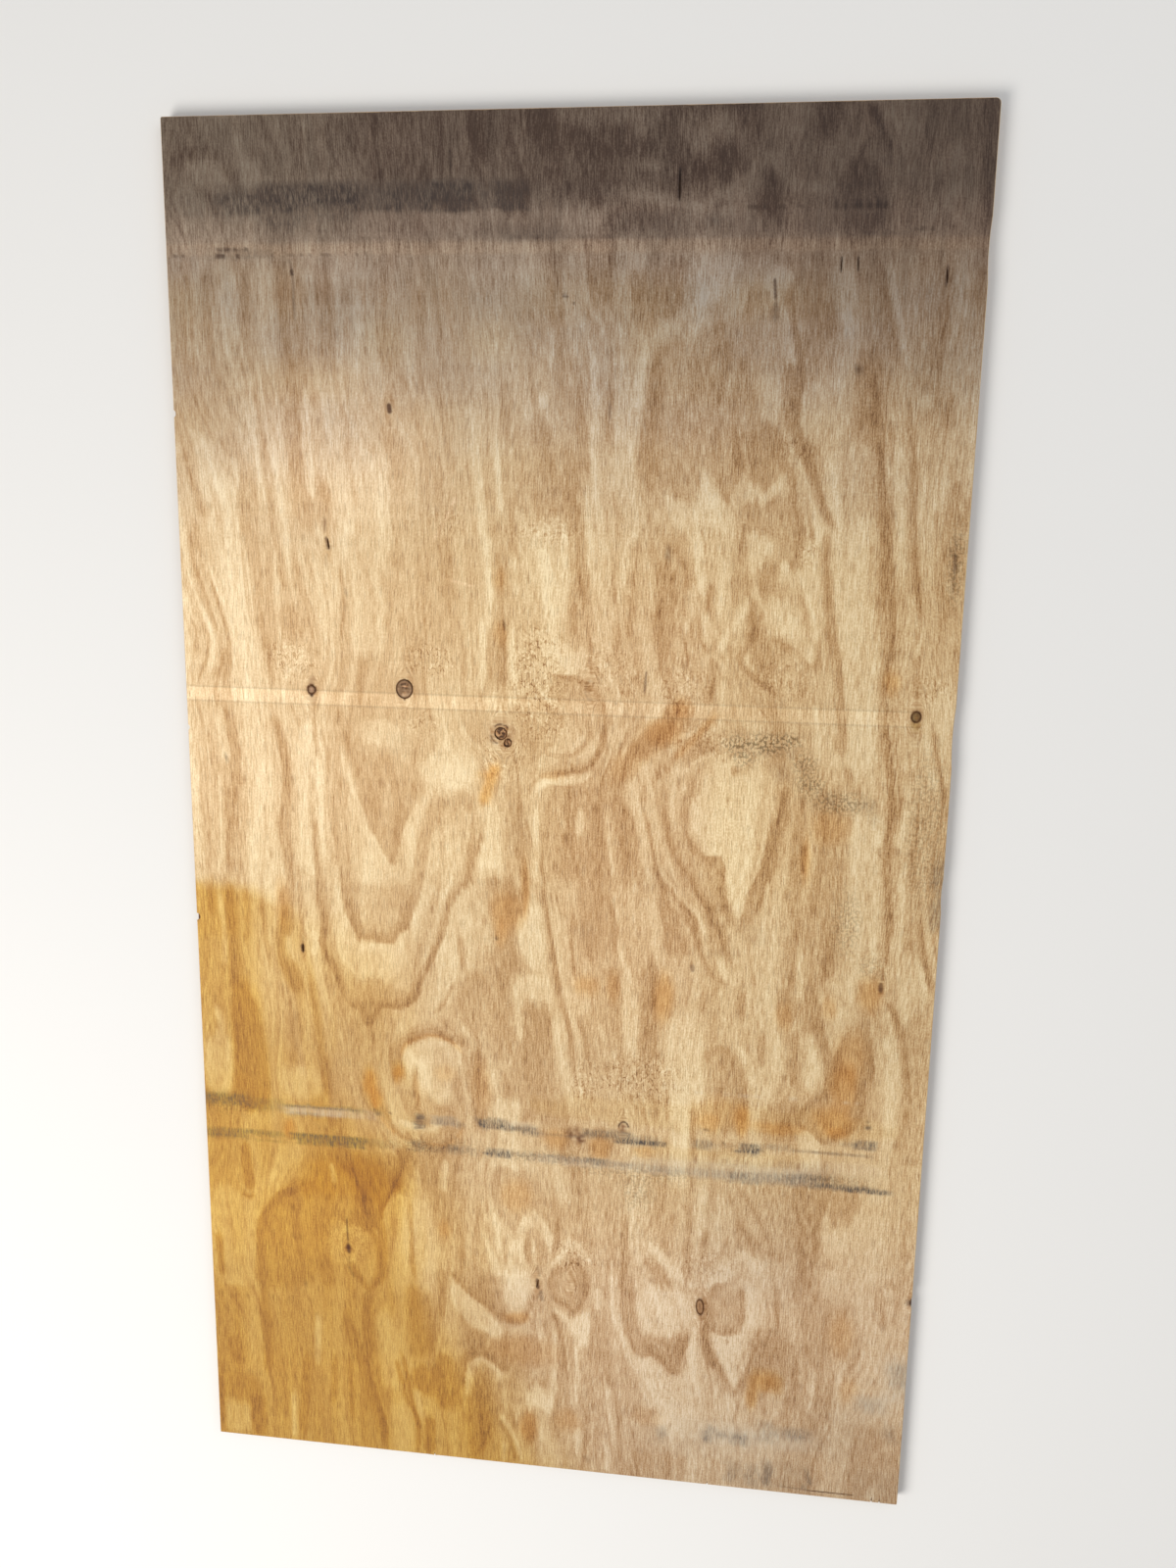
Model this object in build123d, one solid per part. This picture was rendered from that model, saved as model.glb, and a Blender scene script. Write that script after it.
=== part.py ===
from build123d import *
import os
from collections import namedtuple

# A plywood sheet that was cut to size with a saw, lying flat with its best face up.
# X runs across the sheet and Y along the grain of the face veneer, both from the middle.
# Z runs up out of the best face, from 0 on the back. Sizes are in millimetres.

width = 915.0
length = 1677.0
thickness = 18.0
face_veneer = 2.4  # the outer ply, which the open defects of the face go through
arris = 0.5  # the sawn arrises are rubbed off by this much, on both faces
clear = 1.0  # how far a cut starts outside the wood

# The corners, seen from above with +Y away from the viewer: one has been knocked round.
far_left_radius = 2.0
far_right_radius = 5.5
near_left_radius = 1.0
near_right_radius = 2.0

# Where the saw wandered into the right edge: shallow hollows through the whole thickness.
Hollow = namedtuple("Hollow", "from_far_end chord depth")
right_edge_hollows = [
    Hollow(from_far_end=148.0, chord=66.0, depth=1.6),
    Hollow(from_far_end=672.0, chord=74.0, depth=1.6),
    Hollow(from_far_end=858.0, chord=40.0, depth=1.2),
]

# Chips knocked out of a long edge. side is -1 for the left edge and 1 for the right one.
chip_thickness = 5.0  # a chip breaks away down to the second glue line
Chip = namedtuple("Chip", "side from_far_end chord depth")
edge_chips = [
    Chip(side=-1, from_far_end=321.0, chord=8.5, depth=2.4),
    Chip(side=-1, from_far_end=692.0, chord=7.5, depth=2.0),
    Chip(side=-1, from_far_end=934.5, chord=9.5, depth=4.6),
    Chip(side=1, from_far_end=1386.0, chord=15.0, depth=2.6),
]

# Splinters torn out of the face veneer by the saw, along the near edge.
splinter_width = 1.6
Splinter = namedtuple("Splinter", "from_right reach")
near_edge_splinters = [
    Splinter(from_right=22.5, reach=7.0),
    Splinter(from_right=32.5, reach=8.0),
    Splinter(from_right=245.0, reach=5.5),
    Splinter(from_right=612.0, reach=4.5),
]

# A false start of the saw: a shallow scored line beside the near edge.
score_from_near_edge = 7.5
score_from_right = 56.0
score_length = 57.0
score_width = 0.9
score_depth = 0.6

# Open splits in the face veneer, along the grain. side and end pick the nearest edges
# that a split is placed from: side 1 is the right edge and end 1 is the far one.
Split = namedtuple("Split", "side from_side end from_end length width lean")
face_splits = [
    Split(side=1, from_side=330.0, end=1, from_end=80.0, length=34.0, width=2.2, lean=1.0),
    Split(side=1, from_side=42.5, end=1, from_end=174.5, length=16.0, width=1.8, lean=4.0),
    Split(side=1, from_side=154.0, end=1, from_end=162.0, length=17.0, width=1.3, lean=-2.0),
    Split(side=1, from_side=136.5, end=1, from_end=161.0, length=16.0, width=1.2, lean=3.0),
    Split(side=-1, from_side=183.5, end=1, from_end=467.0, length=14.0, width=2.2, lean=8.0),
    Split(side=-1, from_side=138.5, end=1, from_end=968.0, length=13.0, width=2.4, lean=0.0),
    Split(side=-1, from_side=441.5, end=-1, from_end=271.0, length=14.0, width=2.2, lean=-14.0),
]

# Knots that have shrunk in the face veneer, each with an open gap round it.
Knot = namedtuple("Knot", "side from_side end from_end wide tall lean")
shrinkage_gap = 1.1
shrinkage_depth = 1.0
tight_knots = [
    Knot(side=-1, from_side=158.5, end=1, from_end=640.5, wide=10.5, tall=11.5, lean=0.0),
    Knot(side=-1, from_side=273.5, end=1, from_end=636.0, wide=21.0, tall=23.5, lean=0.0),
    Knot(side=1, from_side=43.5, end=1, from_end=648.5, wide=11.0, tall=13.0, lean=0.0),
    Knot(side=1, from_side=263.0, end=-1, from_end=258.5, wide=10.0, tall=22.5, lean=4.0),
]

# One broken knot, whose two lobes stand loose in a gap that goes through the veneer.
broken_knot_lobes = [
    Knot(side=-1, from_side=390.5, end=1, from_end=685.5, wide=15.0, tall=15.5, lean=20.0),
    Knot(side=-1, from_side=399.0, end=1, from_end=696.5, wide=9.0, tall=11.0, lean=-20.0),
]
broken_knot_sink = 0.8  # the loose lobes lie this far below the face


def arc_radius(chord, depth):
    """Radius of the arc that cuts this deep into a straight edge over this chord."""
    return (chord ** 2 / 4 + depth ** 2) / (2 * depth)


def place(feature):
    """The feature's point on the face, from the two edges that it is placed from."""
    x = feature.side * (width / 2 - feature.from_side)
    y = feature.end * (length / 2 - feature.from_end)
    return Location((x, y, thickness), (0, 0, feature.lean))


def edge_cutter(side, from_far_end, chord, depth, low, high):
    """An upright cylinder that bites into a long edge between two heights."""
    radius = arc_radius(chord, depth)
    x = side * (width / 2 - depth + radius)
    y = length / 2 - from_far_end
    return Pos(x, y, (low + high) / 2) * Cylinder(radius, high - low)


def sunk(outline, depth):
    """A cutter of this outline, from clear above the face down to this depth in it."""
    return Pos(0, 0, -depth) * extrude(outline, depth + clear)


def lens(long, wide):
    """A pointed slit along Y between two equal arcs."""
    radius = arc_radius(long, wide / 2)
    shift = radius - wide / 2
    return (Pos(shift, 0) * Circle(radius)) & (Pos(-shift, 0) * Circle(radius))


def outline():
    """The sheet seen from above, with a radius of its own at each corner."""
    corners = {
        (-1, 1): far_left_radius,
        (1, 1): far_right_radius,
        (-1, -1): near_left_radius,
        (1, -1): near_right_radius,
    }
    shape = Rectangle(width, length)
    for (side, end), radius in corners.items():
        corner = shape.vertices().sort_by_distance((side * width / 2, end * length / 2, 0))[0]
        shape = fillet(corner, radius)
    return shape


def blank():
    """The sawn sheet: its outline, the saw's hollows and the rubbed arrises."""
    sheet = extrude(outline(), thickness)
    for hollow in right_edge_hollows:
        sheet -= edge_cutter(1, *hollow, low=-clear, high=thickness + clear)
    faces = sheet.faces().sort_by(Axis.Z)
    return chamfer(faces[0].edges() + faces[-1].edges(), arris)


def chips():
    """What is knocked out of the long edges."""
    low, high = thickness - chip_thickness, thickness + clear
    return [edge_cutter(*chip, low, high) for chip in edge_chips]


def splinters():
    """Pointed tears that run from the near edge into the face veneer."""
    cutters = []
    for splinter in near_edge_splinters:
        tear = lens(2 * splinter.reach, splinter_width)
        spot = Pos(width / 2 - splinter.from_right, -length / 2, thickness)
        cutters.append(spot * sunk(tear, face_veneer))
    return cutters


def score():
    """The shallow scored line beside the near edge."""
    x = width / 2 - score_from_right - score_length / 2
    y = -length / 2 + score_from_near_edge
    line = SlotOverall(score_length, score_width)
    return Pos(x, y, thickness) * sunk(line, score_depth)


def splits():
    """The open splits of the face veneer."""
    return [place(split) * sunk(lens(split.length, split.width), face_veneer) for split in face_splits]


def oval(knot, grow=0.0):
    """A knot's outline, or one that stands this far outside it."""
    return Ellipse(knot.wide / 2 + grow, knot.tall / 2 + grow)


def tight_knot_gaps():
    """The shrinkage gaps round the knots that still hold."""
    gaps = []
    for knot in tight_knots:
        ring = oval(knot) - oval(knot, -shrinkage_gap)
        gaps.append(place(knot) * sunk(ring, shrinkage_depth))
    return gaps


def broken_knot():
    """The pit of the broken knot, with its two lobes left standing a little low in it."""
    pits = [place(lobe) * sunk(oval(lobe), face_veneer) for lobe in broken_knot_lobes]
    lobes = []
    for lobe in broken_knot_lobes:
        core = extrude(oval(lobe, -shrinkage_gap), face_veneer - broken_knot_sink)
        lobes.append(place(lobe) * Pos(0, 0, -face_veneer) * core)
    return Compound(pits[0] + pits[1]) - lobes[0] - lobes[1]


def plywood_sheet():
    """The finished sheet: the blank with every open defect cut into it."""
    sheet = blank()
    for cutter in chips() + splinters() + [score()] + splits() + tight_knot_gaps():
        sheet -= cutter
    return sheet - broken_knot()


os.makedirs("parts", exist_ok=True)
export_step(plywood_sheet(), "parts/plywood_sheet.step")
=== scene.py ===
import math

import bpy
import numpy as np
from mathutils import Matrix, Vector
from mathutils.geometry import delaunay_2d_cdt


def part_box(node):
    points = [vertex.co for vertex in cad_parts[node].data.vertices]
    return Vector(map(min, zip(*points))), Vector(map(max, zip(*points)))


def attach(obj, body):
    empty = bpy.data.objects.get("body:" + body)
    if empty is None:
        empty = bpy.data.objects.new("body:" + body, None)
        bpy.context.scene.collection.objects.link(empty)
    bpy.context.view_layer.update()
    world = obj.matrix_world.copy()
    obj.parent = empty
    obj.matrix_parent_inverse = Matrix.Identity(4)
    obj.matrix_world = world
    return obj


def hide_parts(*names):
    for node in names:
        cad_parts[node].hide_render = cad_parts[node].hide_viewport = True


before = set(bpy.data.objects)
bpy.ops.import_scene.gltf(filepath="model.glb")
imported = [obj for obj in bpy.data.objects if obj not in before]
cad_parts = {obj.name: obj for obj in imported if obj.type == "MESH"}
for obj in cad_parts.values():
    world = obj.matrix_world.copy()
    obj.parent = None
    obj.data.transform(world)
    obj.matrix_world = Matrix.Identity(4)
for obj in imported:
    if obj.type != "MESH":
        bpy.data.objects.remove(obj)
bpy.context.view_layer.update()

# All lengths below are in millimetres, X across the sheet and Y along it, from its middle,
# with Z from 0 on the back to the best face. The mesh turns them into metres.
MM = 0.001
low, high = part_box("plywood_sheet")
WIDTH, LENGTH, THICK = [round((high[i] - low[i]) / MM, 3) for i in range(3)]

# The same features as the solid has.
FACE_VENEER = 2.4
ARRIS = 0.5
CORNERS = {"near_left": 1.0, "near_right": 2.0, "far_right": 5.5, "far_left": 2.0}
HOLLOWS = [(148.0, 66.0, 1.6), (672.0, 74.0, 1.6), (858.0, 40.0, 1.2)]  # from far end, chord, depth
CHIP_THICK = 5.0
CHIPS = [  # side, from far end, chord, depth
    (-1, 321.0, 8.5, 2.4), (-1, 692.0, 7.5, 2.0), (-1, 934.5, 9.5, 4.6), (1, 1386.0, 15.0, 2.6),
]
SPLINTER_WIDTH = 1.6
SPLINTERS = [(22.5, 7.0), (32.5, 8.0), (245.0, 5.5), (612.0, 4.5)]  # from the right edge, reach
SCORE = (372.5, -831.0, 57.0, 0.9, 0.6)  # x, y, length, width, depth
SPLITS = [  # x, y, length, width, lean in degrees
    (127.5, 758.5, 34.0, 2.2, 1), (415.0, 664.0, 16.0, 1.8, 4), (303.5, 676.5, 17.0, 1.3, -2),
    (321.0, 677.5, 16.0, 1.2, 3), (-274.0, 371.5, 14.0, 2.2, 8), (-319.0, -129.5, 13.0, 2.4, 0),
    (-16.0, -567.5, 14.0, 2.2, -14),
]
GAP, GAP_DEPTH = 1.1, 1.0
TIGHT_KNOTS = [  # x, y, width, height, lean
    (-299.0, 198.0, 10.5, 11.5, 0), (-184.0, 202.5, 21.0, 23.5, 0),
    (414.0, 190.0, 11.0, 13.0, 0), (194.5, -580.0, 10.0, 22.5, 4),
]
BROKEN_KNOT = [(-67.0, 153.0, 15.0, 15.5, 20), (-58.5, 142.0, 9.0, 11.0, -20)]
BROKEN_SINK = 0.8


# Numbers over the face.

LATTICE = 256  # cells before noise repeats
NOISE_SHIFT = (90.37, 90.71)  # keeps the corners of noise cells off the sheet's middle


def noise(xy, wide, tall, seed):
    """Smooth seeded noise from -1 to 1, whose cells are wide by tall."""
    lattice = np.random.RandomState(seed).uniform(-1, 1, (LATTICE, LATTICE))
    u = xy[:, 0] / wide + NOISE_SHIFT[0]
    v = xy[:, 1] / tall + NOISE_SHIFT[1]
    i, j = np.floor(u).astype(int), np.floor(v).astype(int)
    fu, fv = u - i, v - j
    fu, fv = fu * fu * (3 - 2 * fu), fv * fv * (3 - 2 * fv)
    i0, i1, j0, j1 = i % LATTICE, (i + 1) % LATTICE, j % LATTICE, (j + 1) % LATTICE
    near = lattice[i0, j0] * (1 - fu) + lattice[i1, j0] * fu
    far = lattice[i0, j1] * (1 - fu) + lattice[i1, j1] * fu
    return near * (1 - fv) + far * fv


def smooth(t):
    """0 up to 0, 1 from 1 on, and an S between them."""
    t = np.clip(t, 0, 1)
    return t * t * (3 - 2 * t)


def rise(value, start, end):
    """0 before start and 1 past end, which may also lie below start."""
    return smooth((value - start) / (end - start))


def curve(flat, closed=False, steps=5):
    """A smooth line through the points, given as x, y, x, y and so on."""
    p = np.array(flat, float).reshape(-1, 2)
    if closed:
        p = np.vstack([p[-1], p, p[0], p[1]])
    else:
        p = np.vstack([2 * p[0] - p[1], p, 2 * p[-1] - p[-2]])
    t = np.linspace(0, 1, steps, endpoint=False)[:, None]
    out = []
    for a, b, c, d in zip(p, p[1:], p[2:], p[3:]):
        out.append(0.5 * (2 * b + (c - a) * t + (2 * a - 5 * b + 4 * c - d) * t ** 2
                          + (3 * b - a - 3 * c + d) * t ** 3))
    out.append(p[-2:-1])
    return np.vstack(out)


def near_line(xy, line, reach):
    """The points within reach of a line: which, how far off and how far along it, whether on
    the left of its course, and whether on its +X side."""
    inside = (xy > line.min(0) - reach).all(1) & (xy < line.max(0) + reach).all(1)
    at = np.nonzero(inside)[0]
    p = xy[at]
    best = np.full(len(at), 1e9)
    along = np.zeros(len(at))
    left, east = np.zeros(len(at), bool), np.zeros(len(at), bool)
    for k, (a, b) in enumerate(zip(line, line[1:])):
        ab = b - a
        t = np.clip((p - a) @ ab / max(ab @ ab, 1e-9), 0, 1)
        d = np.hypot(p[:, 0] - a[0] - t * ab[0], p[:, 1] - a[1] - t * ab[1])
        closer = d < best
        best[closer] = d[closer]
        along[closer] = (k + t[closer]) / (len(line) - 1)
        side = ab[0] * (p[closer, 1] - a[1]) - ab[1] * (p[closer, 0] - a[0]) > 0
        left[closer] = side
        east[closer] = side == (ab[1] < 0)
    return at, best, along, left, east


def in_polygon(p, ring):
    """Whether each point lies inside a closed ring of points."""
    inside = np.zeros(len(p), bool)
    for a, b in zip(ring, np.roll(ring, -1, 0)):
        if a[1] == b[1]:
            continue
        crosses = (a[1] > p[:, 1]) != (b[1] > p[:, 1])
        x = a[0] + (p[:, 1] - a[1]) * (b[0] - a[0]) / (b[1] - a[1])
        inside ^= crosses & (p[:, 0] < x)
    return inside


def line_mask(xy, width, flat, soft=None, core=None):
    """How strongly a tapered brush line covers each point that it comes near. It is crisper on
    the side that faces away from the core of the figure, where one is given."""
    soft = soft or 2.6 + 0.36 * width
    line = curve(flat)
    at, d, s, _, east = near_line(xy, line, width / 2 + soft)
    end = np.minimum(s, 1 - s)
    half = width / 2 * np.minimum(1, 0.3 + 5 * end)
    if core is not None:
        soft = np.where(east == (line[:, 0].mean() > core), 0.6, 1.5) * soft
    return at, smooth(0.5 + (half - d) / soft) * np.minimum(1, 0.35 + 8 * end)


def band_mask(xy, fade, flat):
    """A band of late wood: crisp along the line, and fading out over its left side."""
    at, d, s, left, _ = near_line(xy, curve(flat), fade + 1)
    end = np.minimum(1, 9 * np.minimum(s, 1 - s))
    fading = smooth(1.12 - d / (fade * (0.3 + 0.7 * end)))
    return at, np.where(left, fading, smooth(1 - d / 2.4)) * end


def area_mask(xy, soft, flat):
    """How strongly a soft-edged area covers each point."""
    ring = curve(flat, closed=True, steps=4)[:-1]
    at, d = near_line(xy, np.vstack([ring, ring[:1]]), soft)[:2]
    mask = np.zeros(len(xy))
    p = xy[at]
    inside = in_polygon(p, ring)
    mask[at] = smooth(0.5 + np.where(inside, d, -d) / soft)
    return mask


def spot_mask(xy, x, y, rx, ry):
    """A soft oval spot."""
    q = np.hypot((xy[:, 0] - x) / rx, (xy[:, 1] - y) / ry)
    return smooth(1.45 - q)


# The figure of the face veneer: 0 is pale early wood, 1 is dark late wood.

AREAS = [  # tone, softness, outline
    # the far end: mauve brown, with a few paler patches
    (0.50, 24, -470, 850, -228, 850, -205, 766, -470, 766),
    (0.74, 16, -228, 850, 210, 850, 205, 790, 120, 742, -100, 766, -205, 766),
    (0.10, 12, -432, 776, -424, 788, -398, 788, -384, 776, -392, 764, -422, 764),
    (0.14, 10, -364, 788, -344, 790, -340, 764, -358, 762),
    (0.92, 12, -228, 850, -206, 838, -208, 800, -198, 768, -212, 766, -220, 800),
    (0.92, 12, -106, 838, -76, 836, -80, 796, -100, 790),
    (0.96, 12, -42, 850, 4, 850, 6, 800, -32, 798),
    (0.92, 10, -74, 762, -38, 762, -42, 736, -72, 736),
    (0.9, 8, -142, 750, -98, 750, -98, 736, -140, 736),
    (0.84, 14, 6, 816, 96, 812, 100, 792, 10, 788), (0.30, 14, 0, 842, 100, 842, 96, 824, 4, 822),
    (0.82, 14, 4, 772, 52, 772, 50, 748, 8, 748),
    (0.86, 10, 122, 782, 160, 792, 196, 787, 198, 772, 160, 762, 126, 760),
    (0.20, 12, 130, 820, 150, 826, 196, 820, 190, 802, 134, 800),
    (0.92, 10, 176, 842, 206, 842, 204, 820, 184, 818),
    (0.90, 9, 208, 745, 222, 768, 232, 768, 240, 736, 226, 726),
    (0.26, 12, 216, 842, 262, 842, 262, 792, 244, 790, 240, 806, 218, 806),
    (0.92, 9, 270, 842, 298, 842, 294, 806, 284, 796, 274, 806),
    (0.84, 12, 302, 776, 338, 770, 346, 712, 304, 708),
    (0.24, 12, 352, 842, 378, 842, 380, 800, 362, 798),
    (0.14, 10, 404, 780, 410, 800, 428, 800, 432, 760, 428, 720, 410, 716),
    (0.72, 10, 440, 850, 470, 850, 470, 730, 444, 730),
    (0.20, 8, 376, 726, 402, 728, 402, 706, 376, 706),
    (0.72, 12, 40, 732, 102, 736, 100, 712, 40, 710),
    # far left: mottled, with broad soft bands
    (0.62, 16, -445, 570, -372, 572, -366, 520, -382, 470, -398, 480, -412, 498, -440, 512),
    (0.12, 10, -438, 498, -420, 492, -402, 455, -388, 425, -383, 300, -368, 262, -394, 262,
     -402, 400, -425, 425),
    (0.66, 14, -322, 600, -305, 600, -303, 520, -312, 500, -324, 520),
    (0.14, 16, -255, 465, -205, 470, -198, 420, -200, 350, -212, 330, -250, 345, -258, 400),
    (0.12, 18, -252, 330, -212, 325, -208, 270, -215, 245, -250, 250, -255, 290),
    (0.68, 12, -300, 440, -272, 438, -268, 402, -282, 388, -296, 405),
    (0.60, 14, -330, 305, -310, 290, -298, 262, -318, 250, -334, 275),
    (0.09, 16, -396, 440, -374, 440, -368, 300, -354, 200, -350, 100, -350, 20, -348, -60,
     -372, -70, -390, -30, -386, 60, -392, 200, -400, 300),
    (0.10, 14, -320, 150, -288, 150, -284, 80, -288, -20, -318, -20, -322, 60),
    (0.20, 14, -345, 250, -310, 255, -306, 225, -330, 212, -346, 225),
    # the nested V and U figure left of the middle
    (0.62, 16, -250, 110, -236, 128, -196, 120, -176, 90, -186, 40, -205, 0, -225, 40),
    (0.14, 12, -236, 165, -196, 160, -190, 138, -214, 132, -238, 142),
    (0.20, 20, -258, 50, -248, 60, -232, 36, -212, -6, -208, -34, -224, -50, -246, -38, -258, -10),
    (0.56, 20, -262, -62, -252, -48, -218, -42, -182, -52, -178, -62, -186, -88, -196, -110,
     -204, -115, -226, -111, -252, -114, -262, -90),
    (0.26, 12, -264, -100, -252, -122, -226, -119, -202, -123, -184, -104, -176, -92, -172, -110,
     -178, -138, -190, -162, -204, -158, -214, -170, -226, -164, -240, -170, -252, -160, -266, -150,
     -278, -128, -280, -100),
    (0.60, 12, -262, -168, -248, -182, -226, -170, -196, -178, -176, -172, -172, -182, -192, -196,
     -222, -197, -232, -226, -240, -227, -247, -208, -262, -200),
    (0.06, 14, -158, 118, -104, 122, -96, 96, -122, 78, -150, 84, -166, 98),
    (0.62, 16, -170, 60, -148, 70, -116, 84, -106, 66, -126, 44, -150, 20, -166, 20),
    (0.08, 12, -92, 62, -70, 66, -66, 0, -72, -22, -96, -22, -94, 20),
    (0.12, 12, -190, -256, -178, -248, -150, -236, -116, -246, -108, -264, -126, -290, -134, -322,
     -160, -318, -190, -290),
    (0.14, 14, -130, -52, -100, -42, -90, -90, -100, -130, -130, -190, -152, -200, -150, -150,
     -136, -110),
    # the middle
    (0.66, 14, -82, -22, -60, -26, -46, -32, -42, -56, -44, -96, -50, -112, -70, -114, -75, -92,
     -84, -70),
    (0.08, 10, -30, -50, -16, -60, -12, -100, -14, -130, -28, -136, -38, -120, -44, -95, -42, -75),
    (0.66, 14, -84, -118, -44, -112, -38, -130, -46, -146, -80, -150),
    (0.68, 16, -108, -150, -52, -148, -56, -172, -52, -200, -50, -240, -62, -268, -82, -258,
     -96, -226, -112, -200),
    (0.14, 10, -48, -150, -8, -146, -2, -170, -14, -184, -40, -182),
    (0.68, 14, -36, -186, -12, -181, 0, -202, 2, -240, 8, -300, 14, -340, -52, -340, -56, -292,
     -46, -250),
    (0.64, 16, -14, 90, 10, 96, 50, 90, 96, 60, 100, 10, 98, -20, 40, -30, -6, -20, -14, 30),
    (0.62, 14, 28, -38, 62, -34, 74, -70, 78, -112, 60, -124, 40, -118, 28, -80),
    (0.66, 12, 58, -134, 80, -140, 86, -165, 80, -190, 76, -236, 62, -220, 60, -170),
    (0.10, 10, 88, -142, 100, -150, 108, -200, 106, -246, 92, -240, 88, -190),
    (0.14, 12, 104, -50, 122, -54, 128, -100, 118, -122, 104, -100),
    (0.70, 12, 118, -136, 130, -126, 140, -142, 148, -172, 148, -196, 126, -198, 114, -180),
    (0.64, 12, 140, -66, 160, -78, 166, -104, 150, -116, 138, -96),
    (0.60, 12, -48, 500, -10, 508, 20, 470, 26, 430, 4, 402, -40, 404, -52, 450),
    (0.24, 14, -44, 396, 0, 402, 20, 380, 12, 320, 0, 262, -22, 262, -28, 330, -44, 366),
    (0.50, 18, 104, 350, 146, 352, 142, 300, 136, 262, 108, 262, 102, 300),
    (0.57, 12, 100, 590, 140, 600, 186, 596, 196, 560, 200, 505, 206, 464, 192, 429, 182, 438,
     170, 456, 160, 450, 150, 428, 118, 432, 96, 440, 92, 500),
    (0.10, 14, -18, 262, 30, 262, 34, 236, 14, 222, -6, 232),
    (0.58, 8, -4, 214, 20, 223, 40, 216, 54, 206, 50, 194, 0, 194),
    (0.60, 10, -52, 176, -16, 190, 12, 176, 0, 146, -16, 138, -34, 122, -50, 140),
    (0.56, 8, -18, 108, 4, 122, 22, 126, 38, 118, 26, 111, 8, 109),
    (0.22, 10, 20, 150, 50, 156, 56, 130, 30, 118, 14, 128),
    (0.68, 10, 134, 192, 150, 204, 162, 196, 158, 172, 148, 164, 122, 140, 100, 132, 94, 120,
     86, 138, 102, 154, 112, 170, 128, 178),
    # right of the middle: the pear and what is round it
    (0.10, 12, 182, 122, 205, 132, 246, 128, 260, 98, 262, 66, 254, 36, 244, 6, 232, -22, 222, -56,
     212, -38, 204, -8, 192, 12, 176, 24, 166, 44, 160, 72, 168, 96),
    (0.30, 14, 208, 120, 258, 124, 262, 66, 250, 20, 236, -18, 224, -44, 214, -30, 209, 0, 208, 60),
    (0.10, 12, 150, 95, 162, 90, 156, 60, 158, 30, 146, 50, 146, 76),
    (0.56, 12, 226, 264, 246, 266, 256, 250, 250, 232, 238, 226, 228, 240),
    (0.22, 10, 256, 238, 264, 240, 272, 222, 268, 206, 262, 206),
    (0.10, 12, 332, 300, 364, 304, 366, 200, 368, 130, 340, 128, 336, 200),
    (0.12, 16, 330, 400, 350, 402, 352, 330, 348, 270, 334, 270, 326, 340),
    (0.14, 14, 424, 206, 456, 210, 457, 120, 440, 96, 424, 140),
    (0.64, 14, 304, 92, 340, 88, 346, 20, 346, -60, 342, -124, 316, -130, 306, -60, 308, 20),
    (0.16, 14, 352, 60, 388, 60, 388, -110, 356, -116, 350, -30),
    (0.08, 14, 418, -104, 446, -112, 446, -160, 420, -168),
    (0.12, 12, 306, -204, 330, -202, 338, -236, 326, -266, 306, -262),
    (0.60, 12, 352, -200, 366, -186, 380, -198, 390, -225, 390, -255, 380, -296, 350, -304,
     342, -256, 348, -226),
    (0.72, 12, 272, -156, 288, -148, 294, -176, 284, -196, 274, -180),
    (0.60, 12, 200, -236, 218, -238, 234, -262, 240, -334, 204, -334, 198, -280),
    (0.12, 12, 146, -196, 180, -196, 188, -232, 192, -290, 172, -310, 150, -306),
    (0.14, 12, 398, -204, 416, -200, 424, -300, 400, -306),
    # upper middle and upper right
    (0.14, 9, -50, 706, -36, 708, -14, 652, -28, 648, -50, 655),
    (0.66, 9, -14, 696, 4, 698, -2, 652, -12, 650), (0.64, 12, 26, 702, 56, 700, 54, 652, 34, 646),
    (0.16, 10, 60, 692, 94, 690, 96, 646, 70, 636),
    (0.62, 14, 80, 672, 138, 676, 142, 632, 100, 616, 78, 634),
    (0.14, 10, 138, 676, 172, 690, 236, 682, 252, 660, 232, 640, 212, 654, 196, 628, 182, 622,
     172, 646, 148, 634, 134, 640),
    (0.12, 10, 222, 570, 244, 566, 246, 530, 236, 508, 224, 524),
    (0.74, 9, 249, 566, 265, 564, 268, 522, 262, 500, 246, 520),
    (0.26, 14, 270, 556, 318, 560, 322, 510, 296, 494, 272, 506),
    (0.68, 12, 324, 580, 350, 576, 350, 506, 326, 502),
    (0.68, 8, 200, 496, 222, 504, 232, 514, 246, 498, 258, 478, 246, 462, 238, 446, 216, 450,
     210, 462, 202, 456, 192, 430, 188, 446, 190, 470),
    (0.16, 10, 206, 458, 216, 446, 238, 442, 252, 458, 262, 462, 258, 440, 216, 424, 204, 436),
    (0.14, 8, 162, 450, 169, 453, 184, 430, 192, 422, 196, 400, 160, 398, 156, 425),
    (0.16, 8, 122, 434, 134, 428, 146, 424, 146, 400, 126, 400),
    (0.14, 12, 216, 390, 240, 390, 246, 372, 226, 348, 214, 360),
    (0.62, 10, 236, 362, 252, 352, 256, 326, 238, 322, 232, 342),
    (0.12, 8, 254, 356, 268, 352, 268, 330, 256, 330),
    (0.14, 10, 240, 312, 274, 310, 272, 280, 242, 280),
    (0.12, 12, 300, 470, 310, 470, 320, 410, 324, 340, 332, 266, 322, 266, 312, 340, 308, 410),
    # between and under the grey streaks
    (0.68, 12, -412, -200, -384, -206, -372, -260, -372, -345, -414, -345, -414, -270),
    (0.10, 12, -455, -262, -420, -262, -420, -330, -452, -330),
    (0.14, 12, -350, -292, -304, -292, -302, -330, -346, -330),
    (0.52, 7, -244, -280, -236, -287, -225, -302, -219, -316, -220, -331, -230, -328, -240, -320,
     -247, -298),
    (0.56, 7, -207, -278, -192, -276, -189, -298, -201, -300),
    (0.72, 10, -104, -262, -84, -262, -84, -340, -102, -340),
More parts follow.
